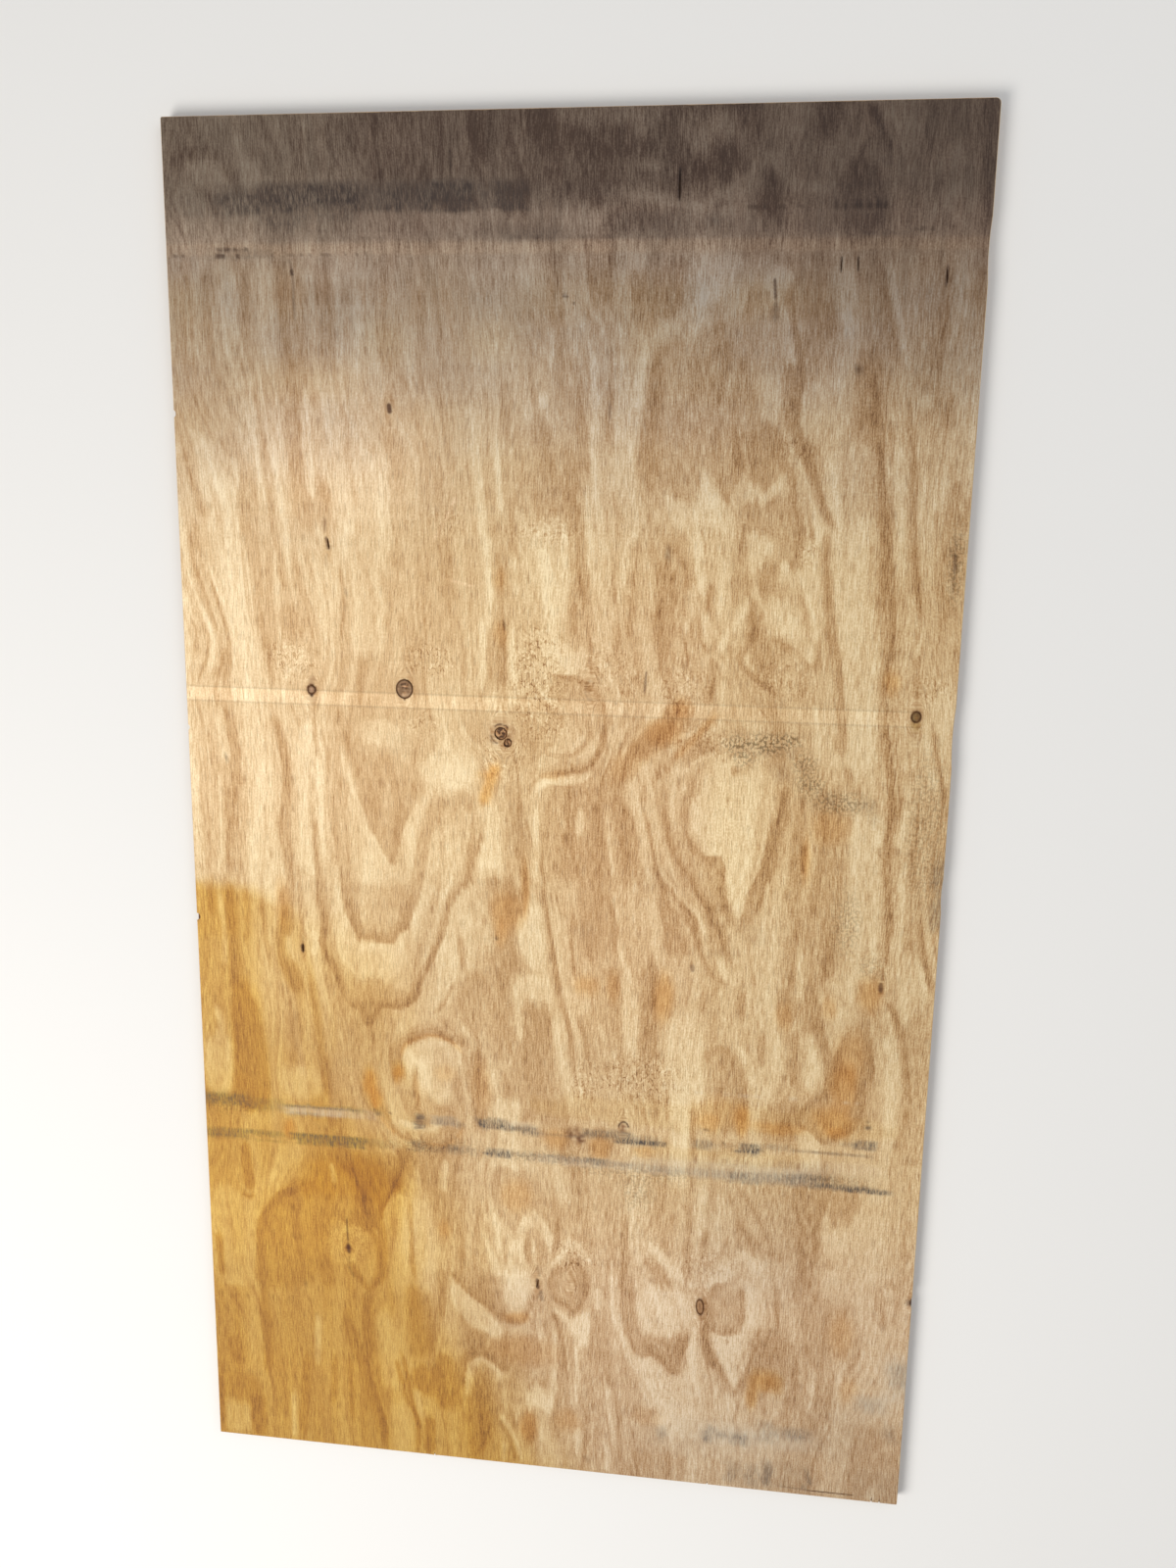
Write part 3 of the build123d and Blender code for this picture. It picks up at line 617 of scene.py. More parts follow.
BANDS = [  # tone, how far it fades out, points: the left of their course is where it fades
    # pale wood between the nested V and U figures
    (0.20, 22, -166, 84, -174, 64, -181, 45, -187, 30, -193, 12, -195, 0, -197, -10, -200, -15,
     -204, -13, -208, -6, -212, 0, -219, 17, -229, 30, -235, 50, -242, 65, -244, 85),
    (0.22, 24, -146, 60, -150, 35, -156, 12, -160, -10, -162, -30, -167, -50, -175, -65, -180, -85,
     -185, -97, -196, -102, -201, -115, -210, -118, -225, -116, -240, -114, -248, -114, -250, -105,
     -257, -90, -264, -75, -267, -60, -270, -30, -272, 0, -275, 35, -277, 72),
    (0.24, 18, -77, 85, -84, 67, -86, 52, -89, 35, -92, 17, -99, -2, -102, -20, -105, -35,
     -114, -42, -124, -55, -130, -67, -134, -87, -137, -105, -145, -122, -152, -137, -161, -157),
    # the nested V and U figure, from inside out, and the hood under it
    (0.70, 26, -250, 108, -244, 85, -242, 65, -235, 50, -229, 30, -219, 17, -212, 0, -208, -6,
     -204, -13, -200, -15, -197, -10, -195, 0, -193, 12, -187, 30, -181, 45, -174, 64, -166, 84),
    (0.72, 15, -280, 110, -277, 72, -275, 35, -272, 0, -270, -30, -267, -60, -264, -75, -257, -90,
     -250, -105, -248, -114, -240, -114, -225, -116, -210, -118, -201, -115, -196, -102, -185, -97,
     -180, -85, -175, -65, -167, -50, -162, -30, -160, -10, -156, 12, -150, 35, -146, 60),
    (0.78, 12, -305, 130, -304, 78, -304, 50, -302, 27, -300, 0, -299, -15, -297, -40, -296, -65,
     -294, -95, -297, -115, -297, -125, -291, -140, -282, -155, -275, -172, -267, -190, -261, -200,
     -252, -204, -245, -212, -241, -225, -236, -228, -231, -224, -225, -210, -221, -203, -210, -201,
     -195, -200, -180, -194, -170, -185, -166, -172, -161, -157, -152, -137, -145, -122, -137, -105,
     -134, -87, -130, -67, -124, -55, -114, -42, -105, -35, -102, -20, -99, -2, -92, 17, -89, 35,
     -86, 52, -84, 67, -77, 85),
    (0.72, 18, -194, -284, -193, -265, -190, -252, -186, -248, -175, -243, -160, -238, -145, -235,
     -130, -240, -116, -246, -110, -258),
    (0.60, 14, -116, -250, -112, -280, -108, -310, -106, -336),
    (0.58, 14, -178, -378, -160, -390, -143, -395, -130, -387, -120, -372, -114, -355),
    # the pear and the contours on its left
    (0.70, 14, 258, 70, 255, 50, 252, 25, 247, 3, 240, -12, 232, -30, 230, -45, 224, -67, 220, -82),
    (0.72, 16, 219, -80, 216, -60, 210, -40, 206, -25, 205, -5, 200, 10, 190, 14, 177, 17, 165, 30,
     159, 50, 160, 77, 170, 92, 178, 112),
    (0.76, 12, 150, 4, 162, -10, 167, -25, 177, -40, 185, -52, 190, -65, 197, -75, 202, -90,
     208, -105, 214, -130),
    (0.74, 9, 215, -146, 202, -138, 190, -125, 180, -102, 177, -88, 174, -70, 167, -55, 152, -44,
     142, -28, 130, -18, 122, 2, 118, 30),
    (0.70, 14, 126, -40, 130, -58, 134, -76, 138, -100, 146, -120),
    # the oval by the broken knot and the diamond right of it
    (0.73, 9, -30, 112, 0, 107, 35, 114, 55, 138, 60, 168, 52, 198, 38, 216, 10, 224, -20, 218),
    (0.61, 6, -20, 135, 0, 128, 22, 130, 38, 148, 40, 170, 32, 190),
    (0.58, 10, 266, 202, 282, 208, 296, 230, 290, 246, 276, 260, 258, 272, 238, 281),
    (0.76, 8, 222, 300, 227, 282, 221, 268, 213, 258, 211, 250, 214, 242, 232, 224, 248, 213,
     262, 203),
    # the tongue and the leaf right of it
    (0.70, 22, 236, -334, 243, -304, 240, -278, 232, -250, 220, -231, 207, -224, 193, -229,
     184, -246),
    (0.76, 14, 368, -183, 355, -200, 347, -225, 341, -255, 334, -277, 318, -287, 306, -303,
     300, -318, 320, -327, 338, -342, 352, -333, 376, -318, 382, -285, 391, -250, 390, -225,
     380, -200, 368, -183),
    # near left: the arch, the tongue, the ring beside the knot and the long edge under it
    (0.70, 14, -296, -438, -330, -455, -350, -462, -367, -472, -382, -495, -390, -515, -392, -550,
     -392, -620, -390, -700),
    (0.74, 16, -290, -402, -275, -425, -258, -440, -250, -465, -243, -490, -236, -506, -226, -508,
     -222, -485, -212, -462, -200, -440, -188, -405),
    (0.70, 8, -268, -562, -262, -574, -255, -586, -247, -598, -238, -600, -231, -588, -225, -565,
     -226, -535, -232, -515, -245, -502),
    (0.74, 18, -220, -838, -222, -800, -229, -770, -237, -740, -247, -700, -262, -660, -272, -620),
    (0.72, 5, -172, -815, -177, -782, -184, -768, -194, -745, -192, -715),
    # near the middle: the scallop, the arch under it and the two winged knots
    (0.72, 12, -140, -568, -127, -572, -107, -592, -87, -605, -67, -620, -47, -631, -32, -625,
     -22, -600, -16, -574),
    (0.70, 16, -112, -745, -113, -715, -110, -695, -102, -684, -88, -681, -74, -689, -62, -699,
     -48, -703),
    (0.70, 12, 32, -529, 20, -535, 6, -548, 0, -562, 2, -580, 6, -592, 20, -597, 32, -606, 44, -592,
     50, -566, 45, -545, 32, -529),
    (0.64, 28, 86, -516, 90, -560, 95, -600, 102, -630, 112, -652, 122, -660, 135, -655, 150, -665,
     165, -681, 175, -650, 184, -624, 190, -602),
    (0.68, 14, 240, -543, 220, -543, 207, -555, 203, -590, 210, -613, 230, -616, 246, -611,
     251, -585, 249, -556, 240, -543),
    (0.68, 14, 280, -610, 265, -635, 255, -665, 242, -695, 230, -675, 215, -650, 205, -620),
]

# Colour that lies over the figure, each a factor on red, green and blue.
AGED = (0.90, 0.725, 0.15)
RED_BROWN = (0.99, 0.78, 0.46)
SOOT = (0.17, 0.17, 0.20)
FADED = (0.90, 0.97, 1.30)
BROWN_BLACK = (0.24, 0.18, 0.16)
RUBBED = (1.8, 2.0, 2.5)

# Painted shade along the sheet: darker towards both ends, where less light falls, and at the far
# end weathered as well.
SHADE_AND_WEATHER_ALONG = [  # y, how light the wood still is there
    (-840, 0.73), (-740, 0.78), (-600, 0.86), (-420, 0.92), (-250, 0.94), (-80, 0.98),
    (60, 1.0), (280, 1.0), (400, 0.94), (480, 0.86), (560, 0.71), (640, 0.57), (698, 0.51),
    (712, 0.45), (736, 0.385), (760, 0.29), (840, 0.27),
]
REGIONS = [  # a colour, and where it comes in: x, y or the warped y, from, to
    # painted shade: darker towards the right edge
    ((0.81, 0.79, 0.77), ("x", 20, 440)),
    ((0.82, 0.80, 0.80), ("x", -150, 350), ("warped", 480, 680)),
    ((0.94, 0.90, 0.90), ("x", -20, 40), ("x", 210, 150), ("y", -300, -100), ("y", 440, 240)),
    ((0.97, 0.96, 1.08), ("x", -100, 100), ("y", -380, -580)),
    # painted light: lighter on the middle left
    ((1.10, 1.105, 1.16), ("x", -40, -340), ("y", -80, 120), ("y", 600, 360)),
    ((1.09, 1.09, 1.09), ("x", 200, 400), ("y", -200, -300)),
    ((0.90, 0.88, 0.90), ("x", -330, -180), ("y", 690, 720)),
    ((0.95, 0.94, 0.94), ("x", 100, 300), ("y", 540, 580)),
]
CROSS_TINTS = {"tan": (0.86, 0.80, 0.74), "clean": (1.14, 1.11, 1.06)}

AGED_AREAS = [  # strength, softness, outline
    (0.38, 110, -560, -44, -230, -50, -170, -300, -110, -480, -70, -640, -20, -760, 60, -960,
     -560, -960),
    (0.50, 60, -520, -44, -392, -44, -372, -130, -350, -250, -250, -360, -190, -420, -182, -520,
     -168, -600, -120, -680, -70, -750, -20, -920, -520, -920),
    (0.42, 90, -560, -330, -300, -380, -210, -430, -190, -520, -150, -600, -130, -700, -100, -760,
     -60, -960, -560, -960),
    (0.32, 16, -418, -190, -376, -190, -370, -250, -372, -345, -416, -345),
    (0.22, 16, -470, -40, -400, -40, -404, -112, -470, -118),
    (0.34, 12, -350, -84, -325, -84, -318, -150, -292, -210, -288, -345, -314, -345, -322, -210,
     -345, -170),
    (0.30, 12, -244, -282, -226, -290, -216, -330, -206, -356, -222, -350, -240, -320),
    (0.3, 8, -206, -274, -192, -274, -194, -300, -204, -300),
    (0.40, 24, -340, -430, -250, -410, -196, -450, -200, -520, -250, -470, -320, -470),
    (0.26, 10, 260, -660, 300, -664, 298, -692, 274, -696, 270, -716, 260, -716),
    (0.16, 12, 20, -304, 390, -304, 390, -334, 20, -334),
    (0.16, 10, 120, -362, 300, -362, 300, -382, 120, -382),
]
PATCHES = [  # x from, x to, y from, y to, red, green, blue: wood that is a little lighter or darker
    (-180, 0, -210, -30, 0.93, 0.92, 0.92), (-180, 0, -700, -560, 0.915, 0.90, 0.94),
    (-500, -180, -700, -560, 0.93, 0.935, 1.0), (180, 330, -560, -400, 0.915, 0.91, 0.93),
    (180, 330, -40, 120, 1.05, 1.06, 1.05),
]
RED_SPOTS = [  # strength, x, y, half width, half height
    (0.4, 146, 192, 14, 12), (0.4, 125, 162, 26, 16), (0.35, -66, 272, 9, 16),
    (0.4, -68, 335, 7, 13), (0.6, -60, -68, 20, 26), (0.6, -38, -38, 6, 36),
    (0.7, 132, -166, 13, 32), (0.4, 282, -182, 9, 18), (0.7, 358, -268, 17, 30),
    (0.5, 365, -230, 20, 34), (0.9, 238, -320, 10, 20), (0.7, 346, -312, 26, 20),
    (0.7, 280, -326, 30, 9), (0.6, 6, -364, 16, 14), (0.6, 62, -370, 14, 16),
    (0.5, -45, -446, 20, 22), (0.6, -42, -620, 16, 8), (0.7, 279, -678, 20, 15),
    (0.6, 264, -702, 8, 16), (0.7, -26, -780, 12, 22), (0.4, 372, -602, 18, 30),
    (0.4, 388, -680, 12, 20), (0.4, 326, 55, 24, 20), (0.6, 296, 16, 7, 28),
    (0.6, 384, -146, 17, 22), (0.6, 388, 228, 10, 14), (0.5, -140, -502, 6, 13),
    (0.5, -64, -98, 8, 16), (0.5, 40, -156, 14, 14), (0.4, 25, -765, 18, 16),
    (0.5, 195, -325, 16, 12), (0.9, -234, -304, 10, 18), (0.9, -226, -326, 8, 14),
    (0.9, -198, -289, 7, 11), (0.35, -136, -284, 14, 12), (0.4, -36, -668, 44, 22),
    (0.5, -343, -376, 9, 14), (0.5, 350, -326, 12, 8), (0.5, 120, -372, 14, 8),
    (0.4, 72, -156, 10, 20), (0.3, -88, -300, 12, 36), (0.3, 0, 105, 16, 6),
    (0.4, -345, -70, 12, 30), (0.4, 338, -168, 8, 14), (0.3, 205, -310, 30, 20),
    (0.3, 132, -748, 24, 10),
]
RED_LINES = [  # strength, width, points
    (0.55, 5, -196, -268, -186, -248, -160, -236, -132, -240, -112, -258),
    (0.5, 4, -232, -326, -222, -350, -205, -370, -186, -376),
    (0.5, 4, -166, -384, -140, -384, -122, -372, -114, -356), (0.4, 4, -174, -290, -172, -330),
    (0.5, 6, -350, -390, -342, -362), (0.26, 28, 152, 196, 136, 174, 112, 150, 86, 124, 66, 98),
    (0.4, 8, 190, 188, 160, 152, 140, 130), (0.9, 15, -90, 64, -80, 92, -71, 118),
    (0.5, 8, -100, 96, -84, 104, -72, 110),
]
DARK_LINES = [  # strength, width, points: dark pitch, fine cracks and dirt
    (0.5, 3, -313, 690, -309, 672, -308, 640, -306, 620), (0.9, 4, -310, 676, -309, 669),
    (0.8, 2.4, -126, 800, -125, 790, -125, 778), (0.9, 3.2, 233, 664, 235, 640),
    (0.5, 5, 235, 640, 236, 618), (0.8, 4, 127, 778, 127, 742), (0.7, 3, 415, 676, 414, 652),
    (0.7, 2.4, 303, 686, 303, 668), (0.7, 2.2, 321, 686, 321, 668), (0.75, 3, 0, 646, 8, 645),
    (0.7, 2.4, 14, 640, 14, 636), (0.6, 8, 328, 575, 328, 562), (0.9, 5, -199, 531, -197, 519),
    (0.5, 4, 56, 530, 55, 517), (0.8, 4, -277, 380, -273, 364), (0.4, 3, -278, 402, -276, 384),
    (0.35, 3, -276, 360, -276, 345), (0.5, 5, 127, 374, 126, 362), (0.75, 4, 444, 374, 445, 352),
    (0.3, 5, 444, 392, 444, 374), (0.3, 5, 445, 352, 443, 330), (0.85, 2, 105, 234, 103, 206),
    (0.5, 2.4, 69, 194, 71, 193), (0.6, 2.4, 67, 135, 69, 135), (0.6, 3, -63, 283, -62, 279),
    (0.9, 5, -320, -124, -319, -135), (0.4, 2.6, -319, -112, -319, -124),
    (0.6, 4, -72, -100, -71, -105), (0.35, 5, 169, -121, 171, -131), (0.6, 5, 394, -130, 395, -143),
    (0.5, 3, 395, -118, 395, -128), (0.7, 4.5, -269, -533, -268, -549),
    (0.8, 2.2, -270, -496, -270, -512, -269, -534), (0.5, 1.8, -269, -548, -268, -570, -262, -582),
    (0.5, 2.4, -330, -594, -328, -600), (0.9, 4, -17, -560, -15, -576),
    (0.5, 5, -12, -576, -10, -594), (0.35, 4, -14, -545, -14, -558), (0.8, 5, 456, -545, 452, -550),
    (0.6, 3, 347, -712, 347, -709), (0.5, 3, 361, -716, 361, -714), (0.5, 3, 1, -787, 1, -783),
    (0.3, 5, 54, -823, 54, -817), (0.4, 2, -120, -645, -121, -641), (0.75, 2, 345, -831, 401, -831),
    (0.45, 2, 302, -829, 345, -831), (0.4, 8, 291, -798, 290, -831),
    (0.8, 2.4, -352, -341, -350, -340), (0.7, 3, -211, -344, -209, -345),
    (0.7, 2.2, 190, -336, 198, -334), (0.7, 2.2, 213, -352, 219, -350),
    (0.6, 1.6, -232, -374, -182, -374), (0.5, 1.6, -160, -372, -134, -372),
    (0.5, 1.8, 385, -318, 393, -317), (0.6, 2.2, 390, -308, 389, -318),
    (0.5, 1.4, 300, -354, 398, -354), (0.6, 1.4, 180, -362, 268, -363),
    (0.5, 2, 454, 519, 454, 512), (0.5, 2.6, 346, 140, 348, 138), (0.7, 2.4, -412, 113, -408, 110),
    (0.5, 2, -404, 105, -400, 105), (0.5, 1.6, -256, 315, -251, 315),
]
SCRATCHES = [  # strength, width, points: rubbed pale, across the grain
    (0.25, 3.6, -120, 428, -128, 412, -133, 400), (0.18, 3.6, -133, 400, -147, 377),
    (0.19, 3, -135, 333.5, -98, 325.5),
]
# What crossed the sheet.
CROSS = [  # kind, x from, x to, y from, y to, strength, softness along x and y
    ("soot", -450, -392, 731, 757, 0.30, 10, 5), ("soot", -398, -340, 732, 760, 0.6, 10, 6),
    ("soot", -346, -228, 740, 766, 1.0, 8, 8), ("soot", -344, -226, 704, 733, 0.22, 14, 8),
    ("soot", -346, -296, 722, 745, 0.6, 8, 10), ("soot", -300, -228, 728, 745, 0.4, 10, 8),
    ("soot", -345, -298, 716, 728, 0.34, 10, 6), ("soot", -232, -200, 736, 764, 0.5, 10, 6),
    ("soot", -204, -142, 736, 763, 0.9, 10, 6), ("soot", -146, -98, 747, 766, 1.0, 5, 4),
    ("soot", -140, -98, 734, 750, 0.9, 5, 5), ("soot", -390, -60, 737, 765, 0.42, 14, 6),
    ("soot", -146, -98, 740, 766, 0.5, 5, 4), ("soot", -98, -70, 738, 762, 0.22, 8, 6),
    ("soot", -72, -38, 735, 764, 0.8, 5, 4), ("soot", -36, 62, 738, 762, 0.26, 18, 10),
    ("soot", -70, 0, 702, 716, 0.32, 14, 6), ("soot", 52, 132, 705, 732, 0.34, 14, 4),
    ("soot", -160, 60, 705, 716, 0.18, 30, 6), ("soot", 132, 240, 706, 730, 0.20, 20, 6),
    ("soot", 270, 345, 705, 760, 0.26, 16, 12), ("soot", 326, 366, 706, 709, 0.3, 8, 2),
    ("soot", 158, 172, 716, 725, 0.5, 4, 3), ("soot", 336, 362, 773, 779, 0.85, 4, 3),
    ("soot", -450, -352, 686, 701, 0.14, 12, 4), ("soot", -402, -358, 687, 699, 0.22, 5, 3),
    ("soot", -362, -332, 688, 697, 0.25, 8, 3), ("clean", -470, 470, 691, 704, 0.8, 6, 4),
    ("tan", -340, -208, 640, 663, 0.7, 8, 3), ("tan", -160, 0, 640, 662, 0.2, 30, 4),
    # the upper of the two streaks near the other end
    ("soot", -470, -400, -351, -333, 0.46, 8, 5), ("soot", -470, -410, -345, -336, 0.3, 10, 3),
    ("soot", -402, -352, -354, -337, 0.34, 10, 5), ("pale", -352, -262, -356, -344, 0.55, 16, 4),
    ("soot", -352, -250, -346.5, -342, 0.66, 12, 2.4), ("soot", -345, -300, -357, -353, 0.4, 10, 3),
    ("pale", -262, -225, -356, -344, 0.25, 14, 4), ("soot", -262, -240, -350, -344, 0.3, 8, 4),
    ("soot", -232, -222, -348, -338, 0.5, 4, 4), ("soot", -178, -164, -364, -344, 0.75, 4, 6),
    ("pale", -158, -122, -357, -343, 0.3, 7, 4), ("soot", -156, -124, -356, -344, 0.40, 7, 3.5),
    ("soot", -124, -112, -358, -350, 0.36, 5, 3), ("soot", -98, -54, -351, -342, 0.62, 7, 3),
    ("soot", -92, -22, -357, -349, 0.78, 8, 3), ("pale", -60, -20, -352, -344, 0.3, 10, 3),
    ("soot", -40, -12, -361, -355, 0.62, 6, 2.4), ("soot", -12, 40, -359.5, -356, 0.36, 10, 2),
    ("soot", 38, 102, -357, -346, 0.60, 8, 4), ("soot", 80, 144, -363, -356, 0.86, 5, 2.4),
    ("soot", 96, 134, -357, -350, 0.42, 8, 4), ("soot", 176, 200, -360, -350, 0.6, 5, 4),
    ("soot", 200, 234, -357, -352, 0.22, 6, 3), ("soot", 234, 260, -364, -350, 1.0, 4, 3),
    ("soot", 256, 300, -357, -348, 0.3, 10, 4), ("soot", 180, 268, -363, -361, 0.45, 6, 1.6),
    ("soot", 300, 400, -354.5, -352.5, 0.34, 8, 1.6), ("soot", 374, 400, -347, -335, 0.74, 4, 3),
    ("soot", 360, 376, -345, -338, 0.3, 6, 3), ("soot", 386, 394, -319, -315, 0.5, 3, 2),
    ("pale", -96, -20, -279.6, -277.6, 0.42, 6, 1.4), ("pale", 96, 380, -286, -284, 0.34, 10, 1.4),
    # and the lower one
    ("soot", -470, -402, -396, -383, 0.52, 8, 4), ("soot", -402, -350, -390, -383, 0.5, 8, 3),
    ("soot", -402, -350, -397, -394, 0.34, 8, 2), ("soot", -342, -240, -391, -382, 0.66, 6, 3),
    ("soot", -335, -246, -397, -392, 0.72, 6, 3), ("soot", -240, -200, -394, -383, 0.26, 10, 4),
    ("soot", -184, -162, -394, -380, 0.38, 6, 4), ("soot", -160, -98, -394, -384, 0.32, 10, 4),
    ("soot", -134, -114, -390, -382, 0.4, 5, 3), ("soot", -86, -52, -395, -384, 0.94, 5, 3),
    ("soot", -50, -12, -392, -385, 0.42, 10, 3), ("pale", -20, 110, -398, -386, 0.35, 20, 5),
    ("soot", -12, 46, -393, -385, 0.36, 14, 4), ("soot", 46, 72, -394, -385, 0.62, 6, 3),
    ("soot", 72, 110, -393, -387, 0.36, 14, 3), ("pale", 110, 330, -400, -378, 0.42, 24, 8),
    ("soot", 112, 232, -401, -388, 0.22, 20, 5), ("soot", 225, 262, -404, -388, 0.44, 8, 4),
    ("soot", 262, 352, -402, -388, 0.34, 14, 5), ("soot", 300, 352, -392, -384, 0.4, 14, 4),
    ("soot", 330, 402, -403, -396, 0.72, 12, 3), ("soot", 368, 424, -404, -398, 0.8, 8, 3),
    ("pale", 300, 402, -384, -366, 0.2, 24, 8), ("soot", 200, 340, -380, -370, 0.14, 24, 6),
    ("soot", 180, 400, -402, -382, 0.12, 20, 8),
    # washes of grey near the right edge and by the near edge
    ("pale", 430, 470, -690, -625, 0.55, 16, 20), ("soot", 438, 470, -672, -636, 0.38, 14, 16),
    ("soot", 206, 218, -776, -752, 0.55, 5, 7), ("pale", 398, 440, -712, -684, 0.4, 14, 10),
    ("soot", 402, 430, -706, -688, 0.22, 12, 8), ("soot", 434, 450, -750, -724, 0.28, 6, 10),
    ("soot", 220, 240, -768, -756, 0.40, 6, 5), ("soot", 242, 262, -772, -756, 0.56, 6, 6),
    ("pale", 200, 350, -776, -748, 0.4, 30, 10), ("soot", 274, 298, -766, -738, 0.40, 10, 8),
    ("soot", 304, 344, -758, -744, 0.44, 12, 6), ("soot", 284, 298, -832, -796, 0.46, 5, 14),
    ("soot", 262, 280, -836, -802, 0.36, 8, 10), ("soot", 236, 256, -832, -802, 0.34, 8, 12),
    ("soot", 338, 345, -832, -802, 0.46, 3, 10), ("soot", 142, 156, -778, -758, 0.36, 5, 6),
    ("pale", 120, 300, -796, -742, 0.18, 40, 12), ("soot", 300, 346, -836, -790, 0.14, 16, 14),
    ("soot", 446, 470, -62, 26, 0.5, 6, 12), ("soot", 395, 470, -838, -790, 0.12, 30, 20),
    ("soot", 330, 420, -780, -700, 0.10, 40, 30), ("pale", -160, -60, 470, 520, 0.12, 30, 20),
]
TICKS = [  # x from, x to, y, height, pitch, strength: rows of short marks across the grain
    (-402, -352, 690.5, 2.6, 5.6, 0.95), (-400, -356, 697, 1.8, 5.2, 0.8),
    (-454, -432, 691, 2.0, 5, 0.6), (-350, -200, 691, 1.6, 5, 0.45),
    (288, 352, 735.5, 3.4, 5.6, 0.9), (198, 250, 735, 2.4, 6.2, 0.6), (250, 290, 735, 1.8, 6, 0.4),
    (374, 404, 711, 1.6, 5, 0.6), (-60, 60, 707, 2.2, 6, 0.35), (-280, -180, 708, 1.6, 6, 0.25),
    (-280, -180, 715, 1.6, 6, 0.2), (-96, 0, 718, 8, 6.5, 0.25), (60, 140, 718, 8, 6, 0.2),
]
SMUDGES = [  # strength, width, points: the mouldy mark right of the middle and its tail
    (0.15, 24, 200, 152, 232, 148, 262, 148, 286, 154),
    (0.14, 24, 262, 142, 282, 120, 298, 96, 316, 88, 346, 84, 366, 78),
    (0.30, 14, 262, 130, 264, 104), (0.34, 12, 362, 96, 372, 72, 378, 60),
    (0.3, 10, 318, 96, 326, 84), (0.34, 9, 344, 92, 346, 76), (0.22, 16, 208, -96, 216, -112),
    (0.2, 10, 188, -104, 194, -108), (0.2, 24, 34, -78, 40, -96), (0.14, 34, 240, -92, 250, -70),
    (0.16, 40, 120, 0, 124, -30), (0.14, 30, -38, 60, -44, 10), (0.2, 12, 415, 176, 414, 156),
    (0.24, 18, -190, 120, -190, 150), (0.16, 22, 112, -424, 120, -440),
    (0.22, 12, 110, -470, 116, -492), (0.16, 16, -176, -370, -176, -340),
]
MOULD = [  # strength, x, y, half width, half height: patches of fine dark specks
    (1.0, 214, 151, 18, 9), (0.9, 248, 152, 26, 12), (1.0, 270, 156, 20, 6),
    (0.7, 222, 136, 14, 10), (0.65, 335, 86, 34, 12), (0.7, 300, 106, 16, 14),
    (0.6, 292, 130, 14, 14), (0.5, 446, 360, 10, 44), (0.35, 434, 60, 22, 90),
    (0.4, 350, -60, 16, 40), (0.35, 110, -420, 20, 30), (0.5, 0, -390, 60, 8),
    (0.4, -172, -388, 22, 10), (0.4, 330, -392, 60, 10), (0.3, -420, -350, 40, 14),
    (0.3, 380, -112, 16, 14), (0.4, 120, -400, 60, 10), (0.3, -120, -385, 40, 10),
    (0.35, 60, -400, 40, 8),
]
CURLS = [  # strength, x, y, half width, half height: swirled grain with bright flecks
    (0.9, -24, 230, 34, 50), (0.8, -20, 172, 36, 24), (0.7, -326, 234, 30, 24),
    (0.8, -152, 238, 30, 20), (0.6, -162, 162, 20, 16), (0.9, 110, -272, 56, 30),
    (0.7, 44, -282, 24, 28), (0.6, 144, 214, 30, 30), (0.6, 180, 150, 36, 20),
    (0.7, 284, 374, 14, 16), (0.6, -14, 388, 40, 14), (0.5, -130, 398, 22, 18),
    (0.6, 380, -104, 18, 18), (0.4, 262, 228, 40, 30), (0.6, 434, 222, 22, 16),
    (0.5, -268, -530, 34, 30), (0.7, 30, -524, 34, 22), (0.6, 200, -516, 40, 20),
    (0.7, -66, 130, 30, 34), (0.6, 268, 484, 20, 16), (0.5, 140, -306, 40, 14),
    (0.6, 60, 226, 40, 36), (0.5, -180, -390, 40, 16), (0.4, 230, -628, 24, 14),
    (0.4, -175, 400, 10, 10),
]
CALM = [  # strength, x, y, half width, half height: where arcs run across the grain unbroken
    (0.9, 10, 108, 60, 24), (0.8, 20, 212, 50, 24), (0.8, 120, 160, 70, 50),
    (0.8, 235, 230, 46, 60), (0.8, -420, 240, 36, 60), (0.9, -20, -520, 60, 60),
    (0.9, -60, -620, 70, 30), (0.9, 30, -570, 40, 50), (0.9, 225, -560, 50, 60),
    (0.8, 140, -650, 60, 40), (0.8, -160, -240, 60, 24), (0.8, -190, -360, 50, 30),
    (0.8, -140, -380, 40, 30), (0.7, -225, -195, 50, 30), (0.8, 216, -236, 50, 30),
    (0.7, -180, 30, 60, 50), (0.8, 215, -50, 50, 60), (0.7, 240, 480, 50, 50),
    (0.7, -210, 150, 60, 26), (0.6, 280, 380, 60, 60),
]


# How far an area, a line and a band draw the tone to their own.
AREA_SHARE, LINE_SHARE, BAND_SHARE = 0.70, 0.74, 0.84
CORES = (-205, 222)  # x of the nested V and of the pear, which the broad lines curve round
BROAD_LINE = 5  # mm
MID_TONE = 0.42
RING_STEP = 8.0  # mm between the points of the grid that the rings are worked out on
RING_ROUNDS = 500


